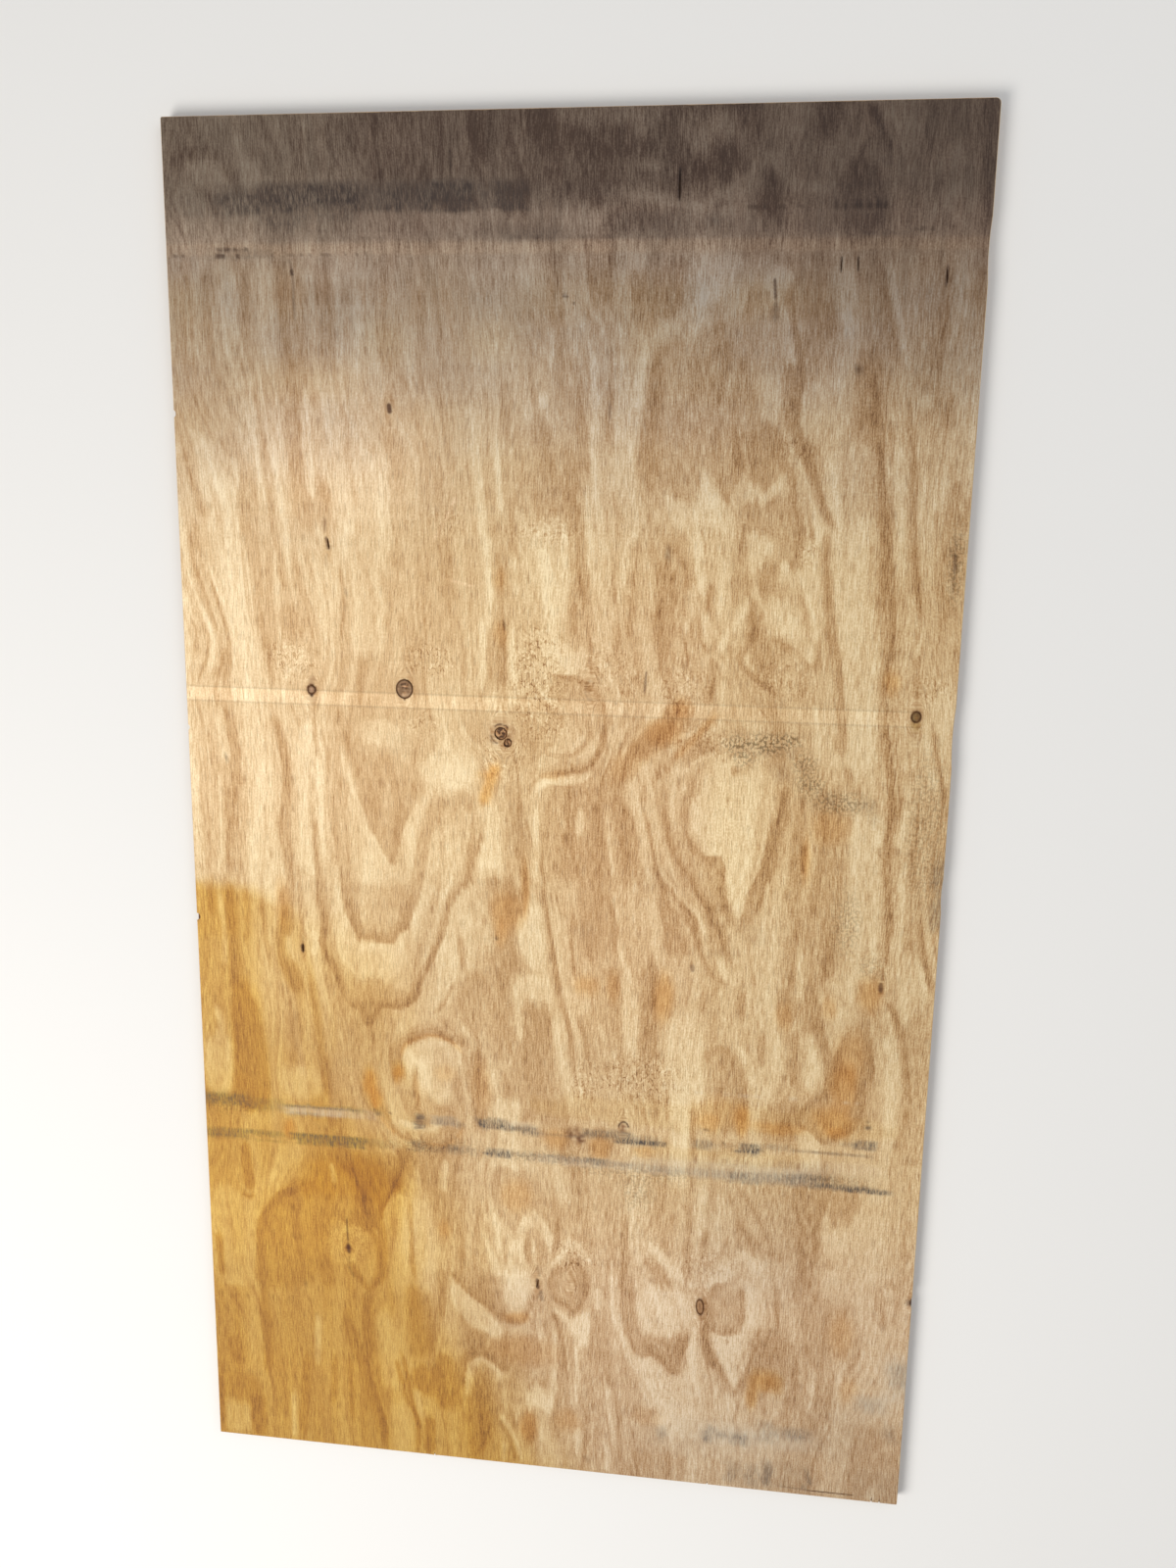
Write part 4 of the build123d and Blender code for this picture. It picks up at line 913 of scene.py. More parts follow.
def figure_tone(xy):
    """How dark the wood's own figure is at each point."""
    x, y = xy[:, 0], xy[:, 1]
    wild = (1 - 0.85 * mask_of(xy, CALM)) * (0.35 + 0.45 * rise(x, -120, 40))
    sway = np.stack([
        x + 1.6 * noise(xy, 26, 70, 3) + 0.7 * noise(xy, 13, 34, 4),
        y + 2.0 * noise(xy, 26, 60, 6),
    ], 1)
    ragged = wild * (12.0 * noise(xy, 7.5, 100, 5) + 6.0 * noise(xy, 4.6, 60, 10))
    torn = sway + np.stack([0 * wild, ragged], 1)
    tone = 0.40 + 0.13 * noise(torn, 30, 260, 7) + 0.05 * noise(torn, 12, 150, 8)
    for value, soft, *flat in AREAS:
        mask = area_mask(torn, soft * 1.1, flat) * AREA_SHARE
        tone += (value - tone) * mask
    for value, width, *flat in LINES:
        broad = width > BROAD_LINE
        core = min(CORES, key=lambda c: abs(c - flat[0])) if broad else None
        at, mask = line_mask(sway, width, flat, core=core)
        tone[at] += (value - tone[at]) * mask * LINE_SHARE
    for value, fade, *flat in BANDS:
        at, mask = band_mask(sway, fade, flat)
        tone[at] += (value - tone[at]) * mask * BAND_SHARE
    # the contrast differs from place to place
    calm = rise(x, -30, -150) * rise(y, -90, 10) * rise(y, 560, 440)
    strong = rise(y, 700, 740)
    soft_top = (0.4 + 0.6 * rise(x, -120, -200)) * rise(y, 440, 540) * (1 - strong)
    aged = smooth((-332 - 0.42 * (y + 40) - x) / 120) * rise(y, -40, -80)
    contrast = 1 - 0.26 * calm + 0.05 * strong - 0.32 * soft_top - 0.10 * aged
    tone = MID_TONE + (tone - MID_TONE) * contrast - 0.02 * calm + 0.03 * aged
    tone += 0.03 * noise(torn, 6.5, 80, 9)
    tone += 0.02 * noise(torn, 18, 110, 19)
    return tone + 0.06 * strong * noise(xy, 22, 20, 20)


def grain_pull(nx, ny, x0, y0):
    """Which way the drawn figure runs at each point of a grid, as the squares and the product
    of its direction, larger where more of it is drawn."""
    pull = np.zeros((3, ny, nx))
    drawn = [(a[2:], True, 0.5) for a in AREAS] + [(a[2:], False, 1.0) for a in LINES + BANDS]
    for flat, closed, weight in drawn:
        line = curve(flat, closed=closed)
        for a, b in zip(line, line[1:]):
            ab = b - a
            size = math.hypot(*ab)
            pieces = max(1, int(size / 4))
            for k in range(pieces):
                q = a + ab * (k + 0.5) / pieces
                i, j = int(round((q[0] - x0) / RING_STEP)), int(round((q[1] - y0) / RING_STEP))
                if 0 <= i < nx and 0 <= j < ny and size > 0:
                    t = ab / size
                    pull[:, j, i] += weight * np.array((t[0] * t[0], t[0] * t[1], t[1] * t[1]))
    for _ in range(2):
        for axis in (1, 2):
            pull = (np.roll(pull, 1, axis) + 2 * pull + np.roll(pull, -1, axis)) / 4
    return pull / (pull[0] + pull[2] + 0.25)


def spline_weights(t):
    """The shares of four neighbours in a smooth curve between the middle two."""
    s = 1 - t
    return [
        s ** 3 / 6,
        (3 * t ** 3 - 6 * t ** 2 + 4) / 6,
        (3 * s ** 3 - 6 * s ** 2 + 4) / 6,
        t ** 3 / 6,
    ]


def ring_field(xy):
    """A length that stays the same along the growth rings: it grows steadily across plain
    grain and bends with each band and line of the figure."""
    step = RING_STEP
    nx, ny = int(WIDTH / step) + 7, int(LENGTH / step) + 7
    x0, y0 = -(nx - 1) * step / 2, -(ny - 1) * step / 2
    hold = 0.05  # how firmly plain grain keeps to its even growth
    pull = grain_pull(nx, ny, x0, y0)
    a, b, c = (pull + np.array([hold, 0, hold])[:, None, None])[:, :-1, :-1]

    def spread(fx, fy):
        out = np.zeros((ny, nx))
        out[:-1, 1:] += fx
        out[:-1, :-1] -= fx
        out[1:, :-1] += fy
        out[:-1, :-1] -= fy
        return out

    def apply(f):
        gx, gy = f[:-1, 1:] - f[:-1, :-1], f[1:, :-1] - f[:-1, :-1]
        return spread(a * gx + b * gy, b * gx + c * gy)

    # conjugate gradients, from the even field on
    field = np.tile(x0 + step * np.arange(nx), (ny, 1)).astype(float)
    even = spread(np.full((ny - 1, nx - 1), hold * step), np.zeros((ny - 1, nx - 1)))
    rest = even - apply(field)
    way = rest.copy()
    power = (rest * rest).sum()
    for _ in range(RING_ROUNDS):
        pushed = apply(way)
        length = power / max((way * pushed).sum(), 1e-12)
        field += length * way
        rest -= length * pushed
        new = (rest * rest).sum()
        way = rest + way * (new / max(power, 1e-12))
        power = new

    u, v = (xy[:, 0] - x0) / step, (xy[:, 1] - y0) / step
    i, j = np.floor(u).astype(int), np.floor(v).astype(int)
    total = np.zeros(len(xy))
    for k, wu in enumerate(spline_weights(u - i)):
        column = np.clip(i + k - 1, 0, nx - 1)
        for m, wv in enumerate(spline_weights(v - j)):
            total += wu * wv * field[np.clip(j + m - 1, 0, ny - 1), column]
    return total + 1.5 * noise(xy, 30, 160, 61)


def cross_mask(xy, x0, x1, y0, y1, soft_x, soft_y):
    """A straight mark across the sheet, its ends and sides softened."""
    mx = smooth(0.5 + np.minimum(xy[:, 0] - x0, x1 - xy[:, 0]) / soft_x)
    my = smooth(0.5 + np.minimum(xy[:, 1] - y0, y1 - xy[:, 1]) / soft_y)
    return mx * my


def tint(factor, mask, colour, at=slice(None)):
    """Multiplies factors by a colour, as far as the mask covers each point."""
    factor[at] *= 1 + mask[:, None] * (np.array(colour) - 1)


def shade_and_weather_wood(factor, xy, warped):
    """Painted shade darkens the wood towards both ends and towards the right edge, and painted
    light brightens the middle left. The far end has also weathered dark and grey, in uneven
    patches. Other places are a little lighter or darker."""
    places = {"x": xy[:, 0], "y": xy[:, 1], "warped": warped}
    # painted shade along the sheet, with weathering at the far end
    factor *= np.interp(warped, *zip(*SHADE_AND_WEATHER_ALONG))[:, None]
    uneven = 0.10 * noise(xy, 5, 40, 51) + 0.08 * noise(xy, 60, 30, 53)
    factor *= (1 + rise(warped, 560, 710) * uneven)[:, None]
    faded = rise(warped, 330, 660) * (1 - rise(warped, 640, 720))
    tint(factor, faded * np.clip(0.85 + 0.3 * noise(xy, 60, 45, 14), 0, 1), FADED)
    for colour, *ramps in REGIONS:
        mask = np.ones(len(xy))
        for axis, start, end in ramps:
            mask *= rise(places[axis], start, end)
        tint(factor, mask, colour)
    for x0, x1, y0, y1, *colour in PATCHES:
        tint(factor, cross_mask(xy, x0, x1, y0, y1, 60, 60), colour)
    tint(factor, spot_mask(xy, -255, 490, 110, 90), (1.15, 1.14, 1.15))
    tint(factor, spot_mask(xy, 90, 490, 110, 90), (0.93, 0.92, 0.94))
    x, y = xy[:, 0], xy[:, 1]
    tint(factor, rise(x, 180, 80) * rise(y, -190, -250) * rise(y, -480, -420), (0.93, 0.92, 0.93))


def age_wood(factor, xy, tone):
    """Age has turned the near left part orange, and dark wood more than pale wood."""
    x, y = xy[:, 0], xy[:, 1]
    torn = np.stack([12 * noise(xy, 16, 90, 15), 6 * noise(xy, 10, 30, 16)], 1)
    below = smooth((-40 - y - 5 * noise(xy, 8, 40, 17)) / (22 + 0.9 * np.clip(x + 392, 0, 200)))
    share = np.clip(0.95 + 1.25 * (tone - MID_TONE), 0.64, 1.12)
    for strength, soft, *flat in AGED_AREAS:
        tint(factor, strength * area_mask(xy + torn, soft, flat) * below * share, AGED)
    for strength, cx, cy, rx, ry in RED_SPOTS:
        tint(factor, strength * spot_mask(xy + 0.4 * torn, cx, cy, rx, ry), RED_BROWN)
    for strength, width, *flat in RED_LINES:
        at, mask = line_mask(xy, width, flat)
        tint(factor, strength * mask, RED_BROWN, at)


def clean_strip(factor, xy):
    """A strip that something lay across is still clean, with a faint dark line on each side."""
    x = xy[:, 0]

    def stripe(y0, y1):
        return cross_mask(xy, -470, 421, y0 - 0.003 * x, y1 - 0.003 * x, 6, 1.6)

    share = np.clip(1.1 - 0.5 * rise(x, -110, -50), 0, 1)
    tint(factor, stripe(180, 195.5) * share, (1.16, 1.19, 1.24))
    tint(factor, 0.16 * (stripe(195.5, 197.5) + stripe(178, 180)), SOOT)


def marks_across(factor, cover, xy, fibre, drag):
    """The soot, dust and tints that lie across the sheet, dragged out along their course."""
    dragged = xy + np.stack([5 * drag, 1.2 * fibre], 1)
    patchy = np.clip(0.95 + 0.2 * fibre + 0.2 * drag, 0, 1)
    for kind, x0, x1, y0, y1, strength, soft_x, soft_y in CROSS:
        mask = cross_mask(dragged, x0, x1, y0, y1, soft_x * 1.8, soft_y * 1.3)
        if kind == "soot" and y1 < -300:
            strength = min(1, 1.15 * strength)
        mask *= strength * patchy
        if kind in CROSS_TINTS:
            tint(factor, mask, CROSS_TINTS[kind])
        else:
            cover[kind] = 1 - (1 - cover[kind]) * (1 - mask)


def tick_marks(factor, xy):
    """Rows of short dark marks, each of a height and place of its own."""
    for x0, x1, level, tall, pitch, strength in TICKS:
        near = (np.abs(xy[:, 1] - level) < 2 * tall) & (xy[:, 0] > x0 - 4) & (xy[:, 0] < x1 + 4)
        near = np.nonzero(near)[0]
        x, y = xy[near, 0], xy[near, 1]
        slot = np.floor(x / pitch)
        lot = 0.5 + 0.5 * noise(np.stack([slot * 7.3, 0 * slot + level], 1), 1.7, 1.7, 54)
        off = np.abs(x / pitch - slot - 0.5) * 2
        tick = smooth(1.6 - np.abs(y - level - 2.5 * (lot - 0.5)) / (tall * (0.4 + 0.8 * lot)))
        tick *= (smooth(1.7 - 1.5 * off) * smooth((lot - 0.25) * 3)
                 * smooth((x - x0) / 6) * smooth((x1 - x) / 6))
        tint(factor, strength * tick, BROWN_BLACK, near)


def stain_and_shade_factor(xy, tone):
    """What age, weather, painted shade and painted light multiply the wood's colour by at each
    point, how much soot and how much pale dust lies on it there, and how grey the wood is
    under them."""
    factor = np.ones((len(xy), 3))
    cover = {"soot": np.zeros(len(xy)), "pale": np.zeros(len(xy))}
    x, y = xy[:, 0], xy[:, 1]
    fibre = noise(xy, 7, 60, 11)
    drag = noise(xy, 60, 3.4, 18)
    uneven = 14 * noise(xy, 90, 60, 12) + 7 * noise(xy, 14, 60, 13)
    warped = y + uneven * (1 - 0.7 * rise(y, 640, 680))
    shade_and_weather_wood(factor, xy, warped)
    age_wood(factor, xy, tone)
    clean_strip(factor, xy)
    marks_across(factor, cover, xy, fibre, drag)
    tick_marks(factor, xy)
    for strength, width, *flat in SMUDGES:
        at, mask = line_mask(xy, width, flat, soft=width * 0.9)
        smudge = 0.6 * strength * mask * np.clip(0.8 + 0.6 * fibre[at], 0, 1)
        cover["soot"][at] = 1 - (1 - cover["soot"][at]) * (1 - smudge)
    for strength, width, *flat in DARK_LINES:
        at, mask = line_mask(xy, width, flat, soft=1.8)
        tint(factor, strength * mask, BROWN_BLACK, at)
    for strength, width, *flat in SCRATCHES:
        at, mask = line_mask(xy, width, flat, soft=2.2)
        tint(factor, strength * mask, RUBBED, at)
    # soot on the near left streaks is browner
    factor[:, 2] *= 1 - 0.55 * cover["soot"] * rise(x, -170, -250) * rise(y, -300, -320)
    return factor, cover["soot"], cover["pale"], rise(warped, 640, 720)


def mask_of(xy, spots):
    """How strongly the strongest of some soft oval spots covers each point."""
    total = np.zeros(len(xy))
    for strength, x, y, rx, ry in spots:
        q = np.hypot((xy[:, 0] - x) / rx, (xy[:, 1] - y) / ry)
        total = np.maximum(total, strength * smooth(1.5 - q))
    return total


# Knots: how they bend the fibres and colour the wood.

KNOTS = [  # x, y, half width, half height, lean, how far the fibres bend round it
    (-184, 202.5, 10.5, 11.75, 0, 30), (-299, 198, 5.25, 5.75, 0, 24),
    (-67, 153, 7.5, 7.75, 20, 34), (-58.5, 142, 4.5, 5.5, -20, 16), (414, 190, 5.5, 6.5, 0, 20),
    (194.5, -580, 5, 11.25, 4, 30), (40, 208, 4, 5, 0, 22), (-269, -540, 4, 5, 0, 16),
    (-16, -567, 3, 7, -14, 24), (32, -357, 9, 8, 0, 22), (91, -340, 6, 6, 0, 20),
    (-171, -352, 4, 9, 0, 22), (-319, -130, 2, 6, 0, 12), (394, -136, 3, 6, 0, 14),
    (-198, 525, 3, 5, 0, 10), (170, -125, 3, 5, 0, 10), (-274, 371, 2, 7, 8, 12),
    (27, -562, 10, 14, 0, 24), (455, -548, 6, 8, 0, 14),
]


def local(xy, x, y, lean):
    """Points seen from a leaning feature: across and along it."""
    a = math.radians(lean)
    dx, dy = xy[:, 0] - x, xy[:, 1] - y
    return dx * math.cos(a) + dy * math.sin(a), dy * math.cos(a) - dx * math.sin(a)


def fibre_coordinates(xy):
    """A coordinate that stays the same along each fibre, which bends round the knots."""
    u = xy[:, 0] + 9 * noise(xy, 120, 420, 21)
    u += 4.0 * noise(xy, 50, 170, 22)
    u += 1.2 * noise(xy, 20, 70, 23)
    for x, y, _, _, _, reach in KNOTS:
        dx, dy = xy[:, 0] - x, (xy[:, 1] - y) / 2.0
        r2 = dx * dx + dy * dy
        bend = np.minimum(0.98, (reach * 0.36) ** 2 / np.maximum(r2, 1))
        u -= dx * bend * np.exp(-r2 / (3.0 * reach) ** 2)
    return u


DARK_KNOTS = [  # x, y, half width, half height, strength: shown by the veneer as dark wood only
    (32, -357, 9, 9, 0.75), (23, -352, 5, 6, 0.6), (39, -361, 5, 7, 0.7), (30, -346, 4, 5, 0.5),
    (90, -341, 5.5, 5.5, 0.75), (-171, -354, 4, 8, 0.7), (-269, -540, 3.6, 5.0, 0.8),
    (-198, 525, 3.4, 5.6, 0.6), (170, -125, 3.4, 5.4, 0.6), (394, -137, 3.2, 6, 0.6),
    (456, -548, 6, 7, 0.7), (-319, -130, 2.4, 6.5, 0.7), (-172, -386, 7, 6, 0.4),
]
HALOS = [  # x, y, half width, half height, reach: brown halos round small knots and splits
    (-198, 525, 3, 5, 3.0), (-319, -130, 2.6, 7, 2.6), (-269, -540, 4, 5, 2.2),
    (394, -136, 3, 6, 2.4), (-275, 372, 3, 8, 2.8), (-16, -567, 3, 7, 2.4),
]


def oval_distance(px, py, rx, ry):
    """0 in the middle of an oval and 1 on its outline."""
    return np.hypot(px / rx, py / ry)


def halos_and_tails(xy, factor):
    """Brown halos round the large knots, with tails along the grain."""
    for x, y, rx, ry, lean, _ in KNOTS[:6]:
        px, py = local(xy, x, y, lean)
        q = oval_distance(px, py, rx, ry)
        halo = smooth((2.3 - q) / 1.3) * 0.5
        narrow = 0.9 * rx * np.clip(1.5 - np.abs(py) / (4.2 * ry), 0.08, 1)
        tail = smooth(1 - np.abs(px) / narrow)
        tail *= smooth((4.2 - np.abs(py) / ry) / 3)
        tint(factor, np.maximum(halo, 0.45 * tail) * (q > 1), (0.72, 0.60, 0.50))


def big_knot(xy, tone, factor, speck):
    """The big round knot: grey brown, two dark bars in its far half, a cracked rim and a painted
    glint.
    """
    px, py = local(xy, -184, 202.5, 0)
    q = oval_distance(px, py, 10.5, 11.75)
    angle = np.arctan2(py, px)
    body = smooth((1.04 - q) * 12)
    tone[:] = np.where(body > 0.5, 0.45 + 0.2 * speck, tone)
    tint(factor, body, (0.42, 0.36, 0.35))
    rim = smooth(1.5 - np.abs(q - 0.98 - 0.03 * speck) / 0.15)
    tint(factor, body * rim, (0.22, 0.17, 0.14))
    ring = smooth((0.14 - np.abs(q - 0.76 - 0.05 * np.sin(3 * angle))) * 12)
    tint(factor, body * ring, (1.15, 1.12, 1.1))
    for level, tilt, half, strength in (
            (5.8, 0.12, 1.5, 0.95), (1.2, -0.16, 0.9, 0.75), (-3.4, 0.05, 0.6, 0.35)):
        bar = smooth(1.5 - np.abs(py - level - tilt * px) / half) * (q < 0.8)
        tint(factor, strength * (bar * np.clip(0.7 + 0.7 * speck, 0, 1)), (0.30, 0.25, 0.23))
    # a painted glint on the knot's far half
    painted_glint = smooth(1.4 - oval_distance(px - 0.6, py - 3.3, 3.4, 0.9))
    tint(factor, body * painted_glint, (2.6, 2.6, 2.7))
    tint(factor, body * smooth(1.2 - oval_distance(px, py + 6, 4.5, 3.5)), (1.5, 1.45, 1.4))
    tint(factor, smooth(1.5 - oval_distance(px, py + 12.4, 1.6, 1.8)), (0.40, 0.32, 0.28))


def small_knot(xy, factor, speck):
    """The small round knot, pale in the middle, with a dark spot under it."""
    px, py = local(xy, -299, 198, 0)
    q = oval_distance(px, py, 5.25, 5.75)
    body = smooth((1.04 - q) * 9)
    tint(factor, body, (0.40, 0.33, 0.32))
    rim = smooth(1.5 - np.abs(q - 0.96) / 0.3)
    tint(factor, rim * np.clip(0.8 + 0.5 * speck, 0, 1), (0.26, 0.18, 0.14))
    tint(factor, body * smooth(1.3 - q / 0.4), (1.6, 1.65, 1.9))
    tint(factor, smooth(1.5 - oval_distance(px, py + 6.6, 2.2, 2.4)), (0.20, 0.15, 0.14))
    tint(factor, 0.5 * smooth(1.4 - oval_distance(px, py - 9, 4, 5)), (0.45, 0.36, 0.32))


def broken_knot(xy, factor, speck):
    """The broken knot's two loose lobes and the cracks round them."""
    for x, y, rx, ry, lean, _ in KNOTS[2:4]:
        px, py = local(xy, x, y, lean)
        q = oval_distance(px, py, rx, ry)
        body = smooth((1.12 - q) * 7)
        swirl = np.sin(7 * q + 2 * np.arctan2(py, px) + 2.5 * noise(xy, 3, 4, 34))
        tint(factor, body, (0.52, 0.42, 0.36))
        tint(factor, body * smooth(0.4 + 1.6 * swirl) * (q < 1), (0.24, 0.19, 0.17))
        # pale flecks between the dark swirls: painted glints
        tint(factor, body * smooth(-2.5 * swirl - 0.9) * (q < 0.95), (1.5, 1.45, 1.4))
    px, py = local(xy, -67, 153, 0)
    q = np.hypot(px, py)
    turn = np.degrees(np.arctan2(py, px)) % 360
    for radius, begin, end, strength in (
            (11.0, 30, 140, 1.0), (12.5, 185, 262, 0.75), (9.6, 330, 360, 0.8),
            (15.0, 200, 245, 0.4)):
        span = smooth(np.minimum(turn - begin, end - turn) / 14)
        crack = smooth(1.4 - np.abs(q - radius - 0.5 * speck) / 1.0)
        tint(factor, strength * span * crack, (0.20, 0.14, 0.12))
    shade = 0.55 * smooth((24 - q) / 12)
    tint(factor, shade * np.clip(0.8 + 0.5 * speck, 0, 1), (0.66, 0.56, 0.52))


def edge_knot(xy, factor, speck):
    """The knot beside the right edge, dark, with a greenish tail under it."""
    px, py = local(xy, 414, 190, 0)
    q = oval_distance(px, py, 5.5, 6.5)
    tint(factor, smooth((1.08 - q) * 8), (0.30, 0.25, 0.17))
    tint(factor, smooth(1.5 - np.abs(q - 0.98) / 0.2), (0.40, 0.34, 0.3))
    tint(factor, smooth((0.5 - q) * 6) * smooth(speck + 0.4), (1.5, 1.4, 1.2))
    tail = 0.8 * smooth(1.3 - oval_distance(px, py + 9, 7, 7)) * (q > 1)
    tint(factor, tail, (0.76, 0.70, 0.46))


def long_knot(xy, factor, speck):
    """The long ring knot, wood coloured inside."""
    px, py = local(xy, 194.5, -580, 4)
    q = oval_distance(px, py, 5, 11.25)
    body = smooth((1.02 - q) * 9)
    tint(factor, body, (0.60, 0.47, 0.36))
    rim = smooth(1.5 - np.abs(q - 0.95) / 0.2)
    tint(factor, rim * np.clip(0.85 + 0.4 * speck, 0, 1), (0.36, 0.27, 0.20))
    tint(factor, body * smooth(1.2 - oval_distance(px, py - 1, 1.4, 7)), (0.6, 0.52, 0.5))


def flat_knots(xy, factor):
    """Knots that the veneer only shows as dark wood, two rings and the brown halos."""
    blotch = 0.72 + 0.5 * noise(xy, 2.6, 3.4, 35)
    uneven = np.clip(1.15 * blotch, 0, 1.2)
    for x, y, rx, ry, strength in DARK_KNOTS:
        tint(factor, strength * spot_mask(xy, x, y, rx, ry) * uneven, (0.34, 0.20, 0.14))
    px, py = local(xy, 91, -341, 0)
    ring = smooth(1.4 - np.abs(oval_distance(px, py, 6.2, 8) - 1) / 0.16)
    tint(factor, 0.95 * ring * smooth((py + 1) / 3), (0.16, 0.11, 0.10))
    px, py = local(xy, 40, 208, 0)
    ring = smooth(1.4 - np.abs(oval_distance(px, py, 6, 11) - 1) / 0.16)
    tint(factor, 0.4 * ring * smooth((4 - px) / 4), (0.4, 0.34, 0.32))
    for x, y, rx, ry, reach in HALOS:
        q = oval_distance(xy[:, 0] - x, xy[:, 1] - y, rx, 1.6 * ry)
        tint(factor, 0.5 * smooth((reach - q) / 1.6), (0.72, 0.56, 0.38))


def knot_paint(xy, tone, factor):
    """Colours the knots' bodies, their dark rings, halos and tails."""
    speck = noise(xy, 1.6, 2.0, 31)
    halos_and_tails(xy, factor)
    big_knot(xy, tone, factor, speck)
    small_knot(xy, factor, speck)
    broken_knot(xy, factor, speck)
    edge_knot(xy, factor, speck)
    long_knot(xy, factor, speck)
    flat_knots(xy, factor)


# The sheet's outline, at the three heights where it differs.

CORNER, END, LONG = 0, 1, 2  # kinds of side
EDGE_STEP = 7.5


def arc_radius(chord, depth):
    """Radius of the arc that goes this deep over this chord."""
    return (chord ** 2 / 4 + depth ** 2) / (2 * depth)


def bite(offset, chord, depth):
    """How deep an arc cuts at this distance along the edge from its middle."""
    radius = arc_radius(chord, depth)
    return max(0.0, math.sqrt(max(radius ** 2 - offset ** 2, 0)) - (radius - depth))


def tear(offset, reach):
    """How far a splinter runs in at this distance across it."""
    half = SPLINTER_WIDTH / 2
    radius = arc_radius(2 * reach, half)
    return math.sqrt(max(radius ** 2 - (abs(offset) + radius - half) ** 2, 0))


def spaced(start, end, step, extra):
    """Places from start to end a step apart, with the extra ones among them."""
    count = max(1, round((end - start) / step))
    regular = [start + (end - start) * k / count for k in range(count + 1)]
    kept = [p for p in regular if all(abs(p - e) > step * 0.45 for e in extra) or p in (start, end)]
    return sorted(set(kept + list(extra)))


def stations():
    """Points round the sheet, seen from above and against the clock: for each its place low,
    in the middle and high in the edge, how far the arris is rubbed, and which side it is on."""
    out = []
    hw, hl = WIDTH / 2, LENGTH / 2
    cuts = [t * SPLINTER_WIDTH / 2 for t in (-1, -0.8, -0.45, 0, 0.45, 0.8, 1)]
    torn = [hw - s + c for s, _ in SPLINTERS for c in cuts]

    def corner(name, cx, cy, start):
        r = CORNERS[name]
        for k in range(1, 6):
            a = math.radians(start + 15 * k)
            p = (cx + r * math.cos(a), cy + r * math.sin(a))
            out.append((p, p, p, ARRIS, (math.cos(a), math.sin(a)), CORNER))

    def end_edge(y, side, names, extra):
        r0, r1 = CORNERS[names[0]], CORNERS[names[1]]
        xs = spaced(-hw + r0, hw - r1, EDGE_STEP, extra)
        for x in xs if side < 0 else reversed(xs):
            tears = [tear(x - hw + s, r) for s, r in SPLINTERS
                     if side < 0 and abs(x - hw + s) < SPLINTER_WIDTH / 2]
            reach = max(tears or [0])
            rub = ARRIS if reach == 0 else 0.02
            out.append(((x, y), (x, y), (x, y - side * reach), rub, (0, side), END))

    def long_edge(side, names):
        r0, r1 = CORNERS[names[0]], CORNERS[names[1]]
        chips = [(hl - f, c, d) for s, f, c, d in CHIPS if s == side]
        hollows = [(hl - f, c, d) for f, c, d in HOLLOWS] if side > 0 else []
        extra = []
        for bites, outer in ((chips, 0.85), (hollows, 0.8)):
            shares = (-1, -outer, -0.6, -0.3, 0, 0.3, 0.6, outer, 1)
            extra += [y + c / 2 * t for y, c, _ in bites for t in shares]
        ys = spaced(-hl + r0, hl - r1, EDGE_STEP, extra)
        for y in ys if side > 0 else reversed(ys):
            worn = max([bite(y - m, c, d) for m, c, d in hollows if abs(y - m) <= c / 2] or [0])
            chip = max([bite(y - m, c, d) for m, c, d in chips if abs(y - m) <= c / 2] or [0])
            low_x = side * (hw - worn)
            high_x = side * (hw - max(worn, chip))
            rub = ARRIS if chip == 0 else 0.1
            out.append(((low_x, y), (high_x, y), (high_x, y), rub, (side, 0), LONG))

    end_edge(-hl, -1, ("near_left", "near_right"), torn)
    corner("near_right", hw - CORNERS["near_right"], -hl + CORNERS["near_right"], 270)
    long_edge(1, ("near_right", "far_right"))
    corner("far_right", hw - CORNERS["far_right"], hl - CORNERS["far_right"], 0)
    end_edge(hl, 1, ("far_left", "far_right"), [])
    corner("far_left", -hw + CORNERS["far_left"], hl - CORNERS["far_left"], 90)
    long_edge(-1, ("near_left", "far_left"))
    corner("near_left", -hw + CORNERS["near_left"], -hl + CORNERS["near_left"], 180)
    return out


def ellipse(x, y, rx, ry, lean, count=30):
    a = np.linspace(0, 2 * math.pi, count, endpoint=False)
    c, s = math.cos(math.radians(lean)), math.sin(math.radians(lean))
    ex, ey = rx * np.cos(a), ry * np.sin(a)
    return np.stack([x + ex * c - ey * s, y + ex * s + ey * c], 1)


def slit(x, y, length, width, lean):
    """A pointed slit between two arcs."""
    radius = arc_radius(length, width / 2)
    t = np.linspace(-length / 2, length / 2, 11)
    w = np.sqrt(radius ** 2 - t ** 2) - (radius - width / 2)
    ring = np.vstack([np.stack([w, t], 1), np.stack([-w[-2:0:-1], t[-2:0:-1]], 1)])
    c, s = math.cos(math.radians(lean)), math.sin(math.radians(lean))
    return np.stack([x + ring[:, 0] * c - ring[:, 1] * s, y + ring[:, 0] * s + ring[:, 1] * c], 1)


def sunk_shapes():
    """The outlines cut into the face and how deep each goes; a later one wins."""
    shapes = []
    for x, y, wide, tall, lean in TIGHT_KNOTS:
        shapes.append((ellipse(x, y, wide / 2, tall / 2, lean), GAP_DEPTH))
        shapes.append((ellipse(x, y, wide / 2 - GAP, tall / 2 - GAP, lean), 0.0))
    for x, y, wide, tall, lean in BROKEN_KNOT:
        shapes.append((ellipse(x, y, wide / 2, tall / 2, lean), FACE_VENEER))
        shapes.append((ellipse(x, y, wide / 2 - GAP, tall / 2 - GAP, lean), BROKEN_SINK))
    for split in SPLITS:
        shapes.append((slit(*split), FACE_VENEER))
    x, y, long, wide, depth = SCORE
    a = np.radians([-90, -45, 0, 45, 90])
    ends = np.stack([long / 2 - wide / 2 + wide / 2 * np.cos(a), wide / 2 * np.sin(a)], 1)
    shapes.append((np.vstack([ends, -ends]) + (x, y), depth))
    return shapes


